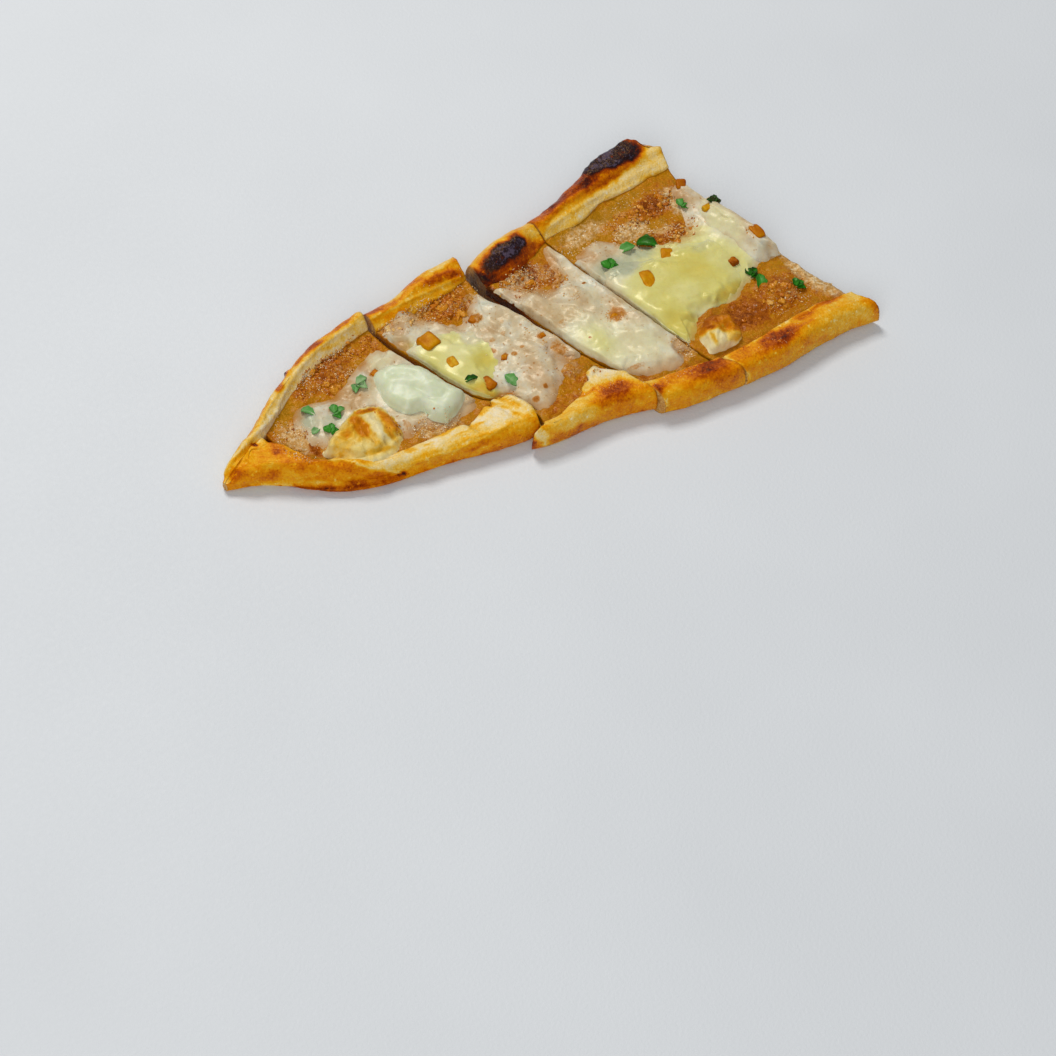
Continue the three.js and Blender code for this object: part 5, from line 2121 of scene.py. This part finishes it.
SHEETS = (
    Cheese(
        "slice_1_cheese", PLANS["slice_1"], Cover.SHEET, centre=(50, 4),
        outline=[
            (28, 4), (31, 11), (37, 11), (45, 9.5), (51, 12.5), (57, 16.5), (66, 19.5), (72, 12), (79, -2),
            (84, -12), (74, -19), (62, -18.5), (52, -14), (44, -8), (35, -7.5), (29, -4),
        ],
        round_=3.4, finish=SHEET, slot="cheese", seed=51,
        yellow=(Spot(34, 5, 5, 6, 0, 0.12), Spot(64, 15, 6, 4, 20, 0.3)),
        clear=(Spot(33, 6, 3, 5, 0, 0.8), Spot(38, 1, 4, 2.4, 0, 0.5), Spot(55, 8, 2, 3, 0, 0.4)),
        thin=(
            Spot(49, 4, 5, 3, 10, 0.34), Spot(42, 6, 5, 2.4, 10, 0.26), Spot(45, 8, 4, 3, 0, 0.5),
            Spot(58.5, 14, 2, 3, 0, 0.45), Spot(64, -16, 8, 3.4, 0, 0.65), Spot(31, 8, 3, 3, 0, 0.4),
            Spot(51, -1, 4, 1.6, -10, 0.5),
        ),
        scorch=(Spot(60, 10.8, 2, 1, 10, 0.55), Spot(58, -12, 1.4, 1.8, 0, 0.5)),
        folds=(
            Fold([(30, 7), (38, 6), (46, 3)], 1.4, lift=0.4),
            Fold([(50, 13), (60, 13), (68, 16)], 1.6, lift=0.4),
        ),
        rough=0.9,
    ),
    Cheese(
        "slice_2_cheese", PLANS["slice_2"], Cover.SHEET, centre=(97, 1),
        outline=[
            (65, 20), (72, 26.5), (80, 27.5), (86, 22), (92, 15), (98.4, 18), (105, 24), (112, 18),
            (116, 6), (121, -8), (121, -15), (111, -19), (106, -25.5), (97, -27.5), (90, -17), (79, -13),
            (72, 0), (66, 12),
        ],
        round_=3.4, finish=SHEET, slot="cheese", seed=61,
        yellow=(Spot(77, 4, 4, 15, 15, 0.75), Spot(84, -15, 6, 3, -20, 1)),
        clear=(Spot(73, 17, 3, 5, 0, 0.4),),
        thin=(
            Spot(103, -17, 4, 8, 0, 0.32), Spot(73, 16, 3, 4, 0, 0.7), Spot(84, 23, 5, 3, 0, 0.5),
            Spot(75, 22.6, 3.4, 3, 0, 0.55), Spot(114, -11, 4, 6, 0, 0.5), Spot(90, -19, 4, 2.4, -20, 0.6),
            Spot(97, 16, 2, 2, 0, 0.3),
        ),
        scorch=(
            Spot(98.6, 13.6, 2.6, 2, 30, 0.6), Spot(96, -1, 1.5, 1.2, 0, 0.6), Spot(98, -4, 1.3, 1, 0, 0.7),
            Spot(101, -5, 1.3, 1.3, 0, 0.6), Spot(105, -4, 1, 0.8, 0, 0.6), Spot(113, -3, 1.8, 1.2, 0, 0.6),
            Spot(115, -10, 2.4, 3.4, 0, 0.55), Spot(99, 3, 1.2, 1, 0, 0.5),
            Spot(103, -21, 1.4, 0.9, 60, 0.7), Spot(98, -24, 1.4, 1.4, 0, 0.7), Spot(103, 4, 1, 1, 0, 0.5),
            Spot(105, 8, 1.4, 0.8, 40, 0.4),
        ),
        folds=(
            Fold([(95, 16), (101, 10), (108, 8)], 1.8, lift=0.6),
            Fold([(101, 18), (109, 12), (112, 4)], 1.6, lift=0.7),
            Fold([(98, 0), (104, -6), (106, -16)], 1.8, lift=0.6),
            Fold([(100, 12), (103, 4), (109, -2)], 1.1, lift=-0.6),
        ),
        rough=1.5,
    ),
    Cheese(
        "slice_3_cheese", PLANS["slice_3"], Cover.SHEET, centre=(131, -3),
        outline=[
            (107, 16), (112, 21), (117, 20.5), (121.5, 15.5), (127, 13.5), (131, 20), (134, 28), (141, 27),
            (146, 8), (152, -12), (155, -25), (147, -34.5), (138, -35), (130, -31), (119, -20), (112, -2),
        ],
        round_=3.4, finish=SHEET, slot="cheese", seed=71,
        yellow=(
            Spot(128, -15, 8, 12, 15, 0.62, 0, 0.95), Spot(140, -22, 7, 9, 10, 0.4, 0, 0.9),
            Spot(136, 2, 3, 8, 0, 0.2), Spot(124, 3, 5, 6, 10, 0.34, 0, 0.9),
        ),
        thin=(
            Spot(124, 3, 5, 6, 10, 0.38), Spot(133, 24, 3, 5, 10, 0.3), Spot(116, 16, 4, 4, 0, 0.5),
            Spot(149, -29, 3, 4, 0, 0.6), Spot(125, 12, 4, 3, 0, 0.4), Spot(129.6, 16, 3.4, 3.4, 0, 0.9),
            Spot(121, -2, 2, 2, 0, 0.35),
        ),
        scorch=(
            Spot(138, -7.6, 3.8, 3, 20, 0.6, 0.4), Spot(130.6, 6.4, 2.4, 2, -20, 0.32),
            Spot(137, 9, 0.6, 0.6, 0, 0.8), Spot(125, -12, 0.5, 0.5, 0, 0.8),
            Spot(121.5, -1, 1.8, 0.9, 0, 0.4), Spot(131, -29, 4, 1.4, -10, 0.45),
        ),
        folds=(
            Fold([(137, 22), (139.5, 8), (142, -6), (146, -20)], 1.6, lift=0.7),
            Fold([(118, 12), (126, 14), (133, 8)], 1.6, lift=0.6),
            Fold([(116, 4), (122, -4), (128, -6), (134, -2)], 1.4, lift=0.5),
            Fold([(123, 8), (129, 3), (133, -4)], 1.2, lift=-0.5),
            Fold([(134, 18), (135, 8), (137.5, -2)], 1.2, lift=-0.3),
            Fold([(124, -20), (132, -16), (142, -18)], 2.0, lift=0.4),
        ),
        rough=1.1,
    ),
    Cheese(
        "slice_4_cheese", PLANS["slice_4"], Cover.SHEET, centre=(178, -3),
        outline=[
            (138, 14), (141, 21), (151, 23), (158, 18), (165, 12.5), (173, 10.5), (179.5, 13), (183, 21),
            (186.5, 31), (194, 33), (201, 15), (204, -2), (203, -12), (192, -13), (186, -17.5),
            (176, -21.5), (166, -21.6), (160, -24), (153.5, -29), (147, -25), (140, -4),
        ],
        round_=3.4, finish=SHEET, slot="cheese", seed=81,
        yellow=(Spot(168, -6, 24, 20, 0, 0.8), Spot(153, -22, 6, 10, 20, 0.85), Spot(180, 9, 6, 3, 0, 0.6)),
        clear=(Spot(149, 9, 7, 5, 0, 0.8), Spot(160, 11, 6, 3, 0, 0.7)),
        thin=(
            Spot(144, 19, 3, 4, 0, 0.5), Spot(187, 24, 3, 6, 0, 0.3), Spot(178, 10, 6, 3, 0, 0.4),
            Spot(160, 17, 3, 2, 0, 0.4),
        ),
        scorch=(
            Spot(190, 30.6, 2, 2.2, 0, 0.6), Spot(190.6, 16.4, 1.8, 1.3, 0, 0.45),
            Spot(147.6, 2.4, 0.8, 2, 10, 0.5),
        ),
        folds=(
            Fold([(186, 28), (190, 18), (192, 8)], 1.8, lift=0.5),
            Fold([(146, 20), (150, 10), (152, 0)], 1.8, lift=0.4),
        ),
        rough=0.8,
    ),
)

LUMPS = (
    Cheese(
        "slice_1_white_cheese", PLANS["slice_1"], Cover.LUMP, centre=(68, -3),
        outline=[
            (56.8, 4), (58.8, 9), (64, 9.8), (69, 7), (73, 3), (76.5, -6), (79, -12), (75, -15.5),
            (69, -18), (65, -15), (64, -11), (59, -9), (56.6, -2),
        ],
        round_=3.0, finish=SOFT, slot="white_cheese", seed=91, top=12.4, crown=1.6, melt=0.25, rough=0.8,
        folds=(
            Fold([(58, 7), (64, 8.6), (69, 7), (74, 1)], 1.4, lift=0.4),
            Fold([(64, 3), (68, -1), (70, -6)], 1.2, lift=-0.45),
            Fold([(71, 2), (75, -4), (78, -10)], 1.6, lift=0.4),
            Fold([(70, -7), (73, -8.6), (75, -7.4)], 0.8, lift=-0.4),
            Fold([(60, 2), (58.6, -3), (60, -8)], 1.5, lift=0.4),
            Fold([(60, -11), (63, -10.4), (66, -11.6)], 0.9, lift=-1.2),
        ),
    ),
    Cheese(
        "slice_1_baked_cheese", PLANS["slice_1"], Cover.LUMP, centre=(44, -9.5),
        outline=[
            (30, -9.5), (35, -6), (41, -2.5), (47, -0.6), (52.5, -2), (55.5, -7), (55.5, -13), (52, -18.5),
            (44, -21.5), (37, -17.5),
        ],
        round_=2.8, finish=CRISP, slot="baked_cheese", seed=101, top=10.6, crown=1.4, melt=0.5,
        scorch=(
            Spot(44, -10, 12, 9, -20, 0.3), Spot(45.6, -5.6, 2.2, 4.2, -8, 0.6),
            Spot(39.6, -6.6, 3.4, 1.6, 24, 0.46), Spot(36, -9, 3, 1.4, 30, 0.3),
            Spot(54, -8, 1.8, 6, 8, 0.56), Spot(49.6, -9, 1.6, 6.4, 6, 0.06), Spot(52, -12, 1, 4, 0, 0.44),
            Spot(42, -13, 3, 2.4, 0, 0.2), Spot(50, -1.6, 3, 0.9, -10, 0.66),
            Spot(46, -16.6, 4, 1, -10, 0.4), Spot(34.6, -12, 1.8, 1, -30, 0.36),
        ),
        folds=(
            Fold([(31, -10), (38, -4.6), (46, -1.2), (52, -2)], 1.0, lift=0.6),
            Fold([(38, -14), (42, -8), (43.4, -2.6)], 0.9, lift=0.6),
            Fold([(48.6, -16), (49.6, -9), (49, -2)], 1.0, lift=0.7),
            Fold([(35, -13), (44, -17), (53, -14)], 1.0, lift=-0.7),
            Fold([(46, -14), (47, -8), (46.6, -3)], 0.8, lift=-0.6),
            Fold([(52, -15), (52.4, -9), (51.6, -3)], 0.7, lift=-0.6),
            Fold([(54, -13), (54.6, -8), (53.6, -3)], 0.7, lift=0.5),
        ),
        rough=0.7, crumple=1.0,
    ),
    Cheese(
        "slice_2_yellow_cheese", PLANS["slice_2"], Cover.LUMP, centre=(85, 2),
        outline=[
            (70, 6), (74, 14), (80, 17), (87, 14), (93, 9.5), (96.5, 3), (95.5, -5), (91.5, -10),
            (87.5, -15), (79, -14), (75, -6),
        ],
        round_=5.0, finish=POOL, slot="yellow_cheese", seed=111, top=9.6, crown=0.7,
        yellow=(
            Spot(85, 0, 16, 18, 0, 0.72), Spot(88, 5, 5, 6, 20, 0.6), Spot(92, -2, 3, 4, 20, 0.92, 0, 0.9),
            Spot(94, 9, 3, 4, 0, 0.3), Spot(80, 0, 3, 5, 10, 0.7), Spot(82, 16, 6, 3, 0, 0.4),
            Spot(85, -13, 5, 4, 0, 1),
        ),
        scorch=(Spot(93, 4, 2, 2.6, 0, 0.2), Spot(93, -10, 2, 2, 0, 0.3)), rough=0.25,
    ),
    Cheese(
        "slice_4_yellow_cheese", PLANS["slice_4"], Cover.LUMP, centre=(158, -8),
        outline=[
            (141, 4), (146, 10), (154, 9.5), (162, 6.5), (172, 7.5), (180, 5.5), (185, 0.5), (186.5, -7),
            (184, -14), (177, -20), (167, -21), (160.5, -22), (156, -27), (151.5, -29), (145, -14),
        ],
        round_=4.2, finish=POOL, slot="yellow_cheese", seed=121, top=10.1, crown=1.1,
        yellow=(
            Spot(166, -6, 24, 17, 0, 0.78), Spot(155, 10, 9, 5, 10, 0.3), Spot(154, -22, 6, 9, 20, 0.88),
            Spot(172, -4, 6, 6, 20, 0.86, 0, 0.9), Spot(158, 2, 4, 5, 0, 0.7),
            Spot(176, -18, 7, 3, 10, 0.92), Spot(182, -3, 4, 6, 0, 0.7), Spot(163, -11, 5, 4, 0, 0.7),
        ),
        clear=(
            Spot(151, 7.5, 6, 3.6, 10, 0.8), Spot(160, 8.6, 5, 2.2, -10, 0.6), Spot(179, 3, 4, 2, 10, 0.3),
        ),
        scorch=(
            Spot(155.6, -1, 3.4, 6, -6, 0.14), Spot(165, 8.5, 5, 0.5, -50, 0.3),
            Spot(173, -21, 2.4, 1.4, 20, 0.24),
        ),
        folds=(
            Fold([(164, 12), (168, 6), (176, 4)], 0.8, lift=0.3),
            Fold([(158, 2), (163, 6), (164, 10)], 0.7, lift=-0.25), Spot(153.4, -25.4, 5, 8, 20, 0.0, -1.5),
        ),
        rough=0.3,
    ),
    Cheese(
        "slice_4_white_cheese", PLANS["slice_4"], Cover.LUMP, centre=(192.5, 3.5),
        outline=[
            (187, 18), (192, 19), (197, 15), (202, 0), (202.5, -10), (196, -12.5), (190.5, -10.5),
            (188.5, -2), (186.2, 8),
        ],
        round_=4.6, finish=SHEET, slot="cheese", seed=131, top=12.2, crown=1.5, melt=0.8,
        yellow=(Spot(191, 8, 5, 12, 0, 0.45), Spot(194, -8, 5, 4, 0, 0.2)),
        scorch=(Spot(198, -1, 2, 3.4, 10, 0.5, 0.3),),
        thin=(Spot(188, 0, 2, 5, 0, 0.3), Spot(194, -2, 2, 4, 0, 0.2)),
        folds=(
            Fold([(188, 14), (193, 4), (196, -8)], 1.4, lift=0.5),
            Fold([(191, 16), (197, 6), (199, -4)], 1.2, lift=0.4),
        ),
        rough=0.7,
    ),
    Cheese(
        "slice_4_baked_cheese", PLANS["slice_4"], Cover.LUMP, centre=(161.5, -31),
        outline=[
            (155.6, -30), (157.6, -26.4), (161.5, -24.8), (166, -25.4), (169.4, -29), (168.8, -34.2),
            (165.2, -37), (159.5, -37.2), (155.2, -36.2),
        ],
        round_=2.6, finish=CRISP, slot="baked_cheese", seed=141, top=10.3, crown=1.0, melt=0.1,
        scorch=(
            Spot(161, -31, 8, 7, 0, 0.08), Spot(162, -24.8, 7, 3.8, 6, 0.74, 0, 0.3),
            Spot(168, -29.4, 3, 5.4, 0, 0.6), Spot(157, -27.6, 2.4, 2, 0, 0.6),
            Spot(166, -35, 3, 1.6, 0, 0.34), Spot(163.6, -29.4, 1.1, 3.6, 18, 0.46),
            Spot(159.4, -32, 0.8, 3, -10, 0.34),
        ),
        folds=(
            Fold([(156, -28.4), (161, -27.6), (165, -29), (168, -32)], 0.8, lift=-0.7),
            Fold([(158, -35), (160.6, -31.4), (162.4, -29)], 0.9, lift=0.5),
            Fold([(161.4, -36), (164, -32.6), (165.6, -30)], 0.7, lift=-0.7),
            Fold([(165.6, -34.6), (167.4, -31), (168, -27)], 0.9, lift=0.6),
        ),
        rough=0.6, crumple=1.1,
    ),
)

GRAIN_SETS = (
    Grains(
        "grains_of_mince",
        patches=(
            Patch(26, -1, 4, 8, 8, 420, (0.4, 1.0), (0.05, 0.8)),
            Patch(47, 18, 11, 5, 20, 620, (0.4, 1.2), (0.3, 0.9)),
            Patch(61, 23, 6, 4, 10, 260, (0.4, 1.1), (0.3, 0.9)),
            Patch(66, -16, 7, 4, 0, 330, (0.4, 1.0), (0, 0.6)),
            Patch(54, -9, 1.6, 6, 8, 90, (0.4, 1.0), (0.3, 0.8)),
            Patch(93, 23, 7, 4.4, 0, 480, (0.4, 1.3), (0.3, 0.9)),
            Patch(79, 25, 9, 3, 8, 330, (0.4, 1.1), (0.1, 0.6)),
            Patch(119, 20, 7, 5, 10, 420, (0.4, 1.2), (0.05, 0.9)),
            Patch(129.6, 16, 4, 4, 0, 220, (0.4, 1.2), (0.25, 0.8)),
            Patch(138, -7.6, 3.2, 2.4, 20, 130, (0.35, 0.8), (0.3, 0.6)),
            Patch(149, -29, 2.8, 5.4, 10, 220, (0.4, 1.0), (0, 0.55)),
            Patch(172, 27, 12, 5, 8, 620, (0.4, 1.3), (0.3, 0.95)),
            Patch(175, 13, 9, 4, 0, 420, (0.4, 1.2), (0.05, 0.8)),
            Patch(191, -27, 8, 7, 0, 460, (0.4, 1.3), (0.1, 0.75)),
            Patch(197.6, -1, 2.2, 4, 0, 110, (0.4, 1.0), (0.3, 0.65)),
            Patch(150, 25, 10, 3.4, 8, 260, (0.4, 1.1), (0, 0.4)),
            Patch(163, 20, 7, 4, 0, 330, (0.4, 1.1), (0, 0.4)),
            Patch(113, -6, 3, 9, 10, 160, (0.35, 0.9), (0.1, 0.6)),
            Patch(116, -20.6, 7, 1.6, -34, 150, (0.35, 0.9), (0.3, 0.7)),
            Patch(130.6, 6.4, 2.4, 2, -20, 70, (0.3, 0.7), (0.2, 0.5)),
            Patch(98, 14, 2.4, 2, 30, 60, (0.35, 0.9), (0.3, 0.6)),
            Patch(203, -22, 2.4, 9, 18, 140, (0.4, 1.0), (0, 0.5)),
        ),
        seed=7, splits=0, dented=0.2, flat=0.7,
    ),
    Grains(
        "lumps_of_mince",
        patches=(
            Patch(47, 18, 8, 3.6, 20, 22, (1.8, 3.6), (0.45, 0.75)),
            Patch(61, 23, 4, 3, 0, 9, (1.6, 3.0), (0.45, 0.7)),
            Patch(94, 22, 5, 4, 0, 24, (1.8, 3.8), (0.4, 0.7)),
            Patch(120, 21, 5, 4, 0, 16, (1.6, 3.2), (0.3, 0.7)),
            Patch(174, 27, 7, 4, 8, 30, (1.8, 4.0), (0.45, 0.75)),
            Patch(175, 12, 6, 3, 0, 14, (1.6, 3.4), (0.3, 0.6)),
            Patch(190, -27, 6, 5, 0, 30, (1.8, 4.2), (0.35, 0.65)),
            Patch(176, -29, 6, 3.4, 0, 12, (1.6, 3.0), (0.5, 0.75)),
            Patch(166, 20, 6, 3, 0, 16, (1.0, 2.0), (0.15, 0.4)),
            Patch(79, 25, 6, 2.4, 8, 14, (1.4, 2.8), (0.15, 0.45)),
            Patch(45.5, 12.6, 2, 2, 0, 8, (2.0, 3.4), (0.4, 0.5)),
        ),
        seed=9, splits=2, dented=0.34, flat=0.55,
    ),
    # Tiny near-white grains on the filling and along the rims: partly crumbs of cheese, partly painted glints
    Grains(
        "cheese_grains_and_painted_glints",
        patches=(
            Patch(26, 0, 5, 9, 8, 460, (0.3, 0.65), (0, 0.2)),
            Patch(47, 18, 11, 5, 20, 560, (0.3, 0.65), (0, 0.2)),
            Patch(66, -16, 7, 4, 0, 360, (0.3, 0.65), (0, 0.2)),
            Patch(90, 24, 13, 5, 4, 560, (0.3, 0.65), (0, 0.25)),
            Patch(122, 18, 9, 7, 0, 560, (0.3, 0.65), (0, 0.25)),
            Patch(172, 22, 13, 11, 8, 800, (0.3, 0.65), (0, 0.25)),
            Patch(190, -26, 9, 9, 0, 330, (0.26, 0.5), (0, 0.25)),
            Patch(104, -4, 9, 20, 8, 300, (0.26, 0.5), (0.05, 0.4)),
            Patch(118, -30, 7, 2, -10, 90, (0.22, 0.4), (0, 0.2)),
            Patch(138, -38, 9, 2, -10, 110, (0.22, 0.4), (0, 0.2)),
            Patch(98, 33, 8, 2, 4, 80, (0.22, 0.4), (0, 0.3)),
            Patch(177, -42.4, 8, 3, 6, 110, (0.2, 0.36), (0, 0.2)),
            Patch(130, 0, 9, 22, -10, 120, (0.26, 0.5), (0.1, 0.5)),
            Patch(138, -7.6, 4, 3, 20, 60, (0.26, 0.45), (0, 0.2)),
        ),
        seed=8, splits=0,
    ),
)

LEAVES = (
    Leaf("slice_1_cheese", 34.6, 7.4, 5.2, 3.0, -62, 6, 0.2),
    Leaf("slice_1_cheese", 42, 3, 5.6, 4.2, -6, 6, 0.36, 3),
    Leaf("slice_1_cheese", 53.4, 8.6, 6.4, 4.4, -60, 8, 0.14, 3),
    Leaf("slice_1_cheese", 33, -0.4, 3.2, 2.2, 10, 4, 0.1),
    Leaf("slice_1_cheese", 37, -2.4, 5, 4, 50, 8, 0.46, 3),
    Leaf("slice_2_yellow_cheese", 84.5, -7, 4.4, 2.4, -12, 4, 0.75),
    Leaf("slice_2_cheese", 94.8, -13.4, 5.4, 3.6, 100, 6, 0.18),
    Leaf("slice_4_cheese", 148.4, 11, 6.4, 5, 45, 8, 0.52, 3),
    Leaf("slice_4_cheese", 157.6, 14.6, 6, 3.6, -4, 6, 0.28),
    Leaf("slice_4_cheese", 164.6, 13.2, 7.4, 5.2, -50, 8, 0.68),
    Leaf("slice_4_cheese", 185, 22, 5, 4.2, 20, 8, 0.4, 3),
    Leaf("slice_4_filling", 187, -19.6, 6.8, 3.6, 66, 8, 0.5),
    Leaf("slice_4_filling", 186.6, -15.4, 5.4, 4.4, 20, 8, 0.8, 3),
    Leaf("slice_4_filling", 197, -27, 5, 4, 10, 8, 0.66, 3),
    Leaf("slice_4_cheese", 194, 17.4, 5, 4.4, 60, 8, 0.92, 3),
)

DICES = (
    Dice("slice_2_yellow_cheese", 81, 13, 6.2, 6.8, 12, 1.5, 0.4),
    Dice("slice_2_yellow_cheese", 83, 2, 3.6, 4.8, 0, 0.8, 0.25),
    Dice("slice_2_yellow_cheese", 88.2, -11, 4, 5.4, 14, 1.2, 0.7),
    Dice("slice_2_cheese", 98, 14, 3, 3, 30, 0.8, 0.6),
    Dice("slice_2_cheese", 98, -4.5, 2.4, 2.2, 60, 0.8, 0.65),
    Dice("slice_2_cheese", 113, -3, 2.6, 2.2, 10, 0.8, 0.6),
    Dice("slice_1_cheese", 60, 10.6, 2.8, 2.4, 20, 0.8, 0.6),
    Dice("slice_3_cheese", 137.4, -8, 3.4, 2.6, 30, 0.7, 0.6),
    Dice("slice_4_yellow_cheese", 155.4, -1, 9.4, 4.6, 78, 1.0, 0.35),
    Dice("slice_4_yellow_cheese", 167.4, 6, 5.2, 4.4, 60, 1.0, 0.3),
    Dice("slice_4_yellow_cheese", 184, -8, 3.4, 3.4, 10, 1.4, 0.85),
    Dice("slice_4_yellow_cheese", 169, -14.6, 4, 3, 20, 0.6, 0.05),
    Dice("slice_4_cheese", 190, 30.4, 4.4, 3.6, 60, 1.0, 0.65),
    Dice("slice_4_white_cheese", 198.2, -1, 3.8, 6.4, 0, 1.0, 0.6),
    Dice("slice_4_cheese", 190.6, 16.4, 3.4, 2.8, 0, 0.9, 0.25),
    Dice("slice_2_yellow_cheese", 92.6, 5, 2.8, 3.4, 0, 0.5, 0.1),
)


@dataclass(frozen=True)
class Pide:
    """The bread with its filling and cheese.

    Attributes:
        crusts: Trays of dough.
        fillings: Fillings, each in its tray.
        sheets: Melted cheese on the fillings.
        lumps: Cheese that stands on that.
    """

    crusts: tuple[Crust, ...] = CRUSTS
    fillings: tuple[Filling, ...] = FILLINGS
    sheets: tuple[Cheese, ...] = SHEETS
    lumps: tuple[Cheese, ...] = LUMPS

    def build(self) -> Ground:
        """Makes every layer, from the dough up.

        Returns:
            The height of it all.
        """
        ground = Ground()
        for crust in self.crusts:
            made = crust.form()
            made.piece(f"{crust.name}_dough", DOUGH, "crust", [f"{crust.name}_crust"])
            ground.lay(made.points)
        for filling in self.fillings:
            made = filling.form()
            made.piece(f"{filling.name}_stew", STEW, "filling", [f"{filling.name}_filling"])
            ground.lay(made.points)
        for cheese in (*self.sheets, *self.lumps):
            made = cheese.form(ground)
            made.piece(f"{cheese.name}_melt", cheese.finish, cheese.slot, [cheese.name])
            ground.lay(made.points)
        return ground


@dataclass(frozen=True)
class Toppings:
    """What is strewn on the bread.

    Attributes:
        grains: Mince, crisped cheese, and pale grains that are partly painted glints.
        leaves: Sprigs of herb.
        dices: Dice of pepper.
    """

    grains: tuple[Grains, ...] = GRAIN_SETS
    leaves: tuple[Leaf, ...] = LEAVES
    dices: tuple[Dice, ...] = DICES

    def build(self, ground: Ground) -> None:
        """Strews them, with one piece of herbs and one of pepper for each node that carries some.

        Args:
            ground: What is there.
        """
        for grains in self.grains:
            grains.form(ground).piece(grains.name, GRAINS, "filling", [])
        for name, things, finish in (("herbs", self.leaves, PARSLEY), ("pepper", self.dices, PEPPER)):
            for node in sorted({thing.node for thing in things}):
                forms = [thing.form(ground) for thing in things if thing.node == node]
                together(forms).piece(f"{name}_on_{node}", finish, None, [node])


# ---- Studio --------------------------------------------------------------------------------------


class Glaze(Finish):
    """Pale tabletop, matte and almost even."""

    STOPS = ((0.3, "D4D8DD"), (0.7, "D8DCE1"))

    def base(self, tree: Tree) -> Socket:
        """Colour over the surface."""
        return add(tree, "ValToRGB", {"stops": self.STOPS}, {0: grain(tree, 90)})


@dataclass(frozen=True)
class Lamp:
    """Soft square light that faces the bread.

    Attributes:
        name: Its name.
        place: Where it stands, in metres.
        power: Its power in watts.
        size: Its width in metres.
        tint: Its colour.
    """

    name: str
    place: tuple[float, float, float]
    power: float
    size: float
    tint: str

    def build(self) -> None:
        """Adds it to the scene."""
        lamp = bpy.data.lights.new(self.name, "AREA")
        lamp.energy, lamp.size, lamp.color = self.power, self.size, colour(self.tint)[:3]
        made = bpy.data.objects.new(self.name, lamp)
        made.location = self.place
        made.rotation_euler = (-Vector(self.place)).to_track_quat("-Z", "Y").to_euler()
        bpy.context.scene.collection.objects.link(made)


@dataclass(frozen=True)
class Studio:
    """Floor, lights and camera.

    Attributes:
        eye: The camera's place, in metres.
        lens: Its focal length in millimetres.
        sensor: Width of its sensor in millimetres.
        aim: The way that it looks, on the table.
        down: How far down it looks, in degrees.
        roll: How far it is rolled, in degrees.
        floor: Half the floor's width, in metres.
        lamps: The lights.
        sky: Colour of the room's even light.
        glow: Strength of the room's even light.
    """

    eye: tuple[float, float, float] = (-0.26105, -0.3840, 0.5317)
    lens: float = 75.0
    sensor: float = 36.0
    aim: Pair = (0.5738, 0.8189)
    down: float = 53.49
    roll: float = 3.23
    floor: float = 1.6
    lamps: tuple[Lamp, ...] = (
        Lamp("key", (0.1, 0.9, 1.3), 14.5, 0.45, "FFFCF6"),
        Lamp("front", (-0.9, -0.9, 1.0), 11.0, 1.0, "FFFEFA"),
    )
    sky: str = "F2F5FA"
    glow: float = 0.3

    def camera(self) -> None:
        """Sets the camera: it looks down at the bread from the side of its tip and its near edge."""
        ahead = Vector((*self.aim, 0.0))
        right = Vector((self.aim[1], -self.aim[0], 0.0))
        level, fall = heading(self.down)
        forward = level * ahead - fall * Vector((0, 0, 1))
        up = fall * ahead + level * Vector((0, 0, 1))
        c, s = heading(self.roll)
        x, y = c * right + s * up, -s * right + c * up
        lens = bpy.data.cameras.new("camera")
        lens.lens, lens.sensor_width, lens.clip_start = self.lens, self.sensor, 0.01
        made = bpy.data.objects.new("camera", lens)
        made.matrix_world = Matrix.Translation(self.eye) @ Matrix((x, y, -forward)).transposed().to_4x4()
        bpy.context.scene.collection.objects.link(made)
        bpy.context.scene.camera = made

    def room(self) -> None:
        """Adds the room's even light."""
        world = bpy.data.worlds.new("room")
        world.use_nodes = True
        light = world.node_tree.nodes["Background"]
        light.inputs["Color"].default_value = colour(self.sky)
        light.inputs["Strength"].default_value = self.glow
        bpy.context.scene.world = world
        bpy.context.scene.view_settings.view_transform = "Standard"

    def tabletop(self) -> None:
        """Adds the floor, flat and bare."""
        half = self.floor
        mesh = bpy.data.meshes.new("tabletop")
        corners = [(-half, -half, 0), (half, -half, 0), (half, half, 0), (-half, half, 0)]
        mesh.from_pydata(corners, [], [(0, 1, 2, 3)])
        mesh.materials.append(Glaze("pale tabletop", 0.6).material())
        made = bpy.data.objects.new("tabletop", mesh)
        bpy.context.scene.collection.objects.link(made)

    def build(self) -> None:
        """Makes the studio, the camera first."""
        self.camera()
        for lamp in self.lamps:
            lamp.build()
        self.room()
        self.tabletop()


def main() -> None:
    """Builds the studio, the bread and its toppings."""
    logging.basicConfig(level=logging.INFO, format="%(message)s")
    Studio().build()
    ground = Pide().build()
    Toppings().build(ground)


if __name__ == "__main__":
    main()
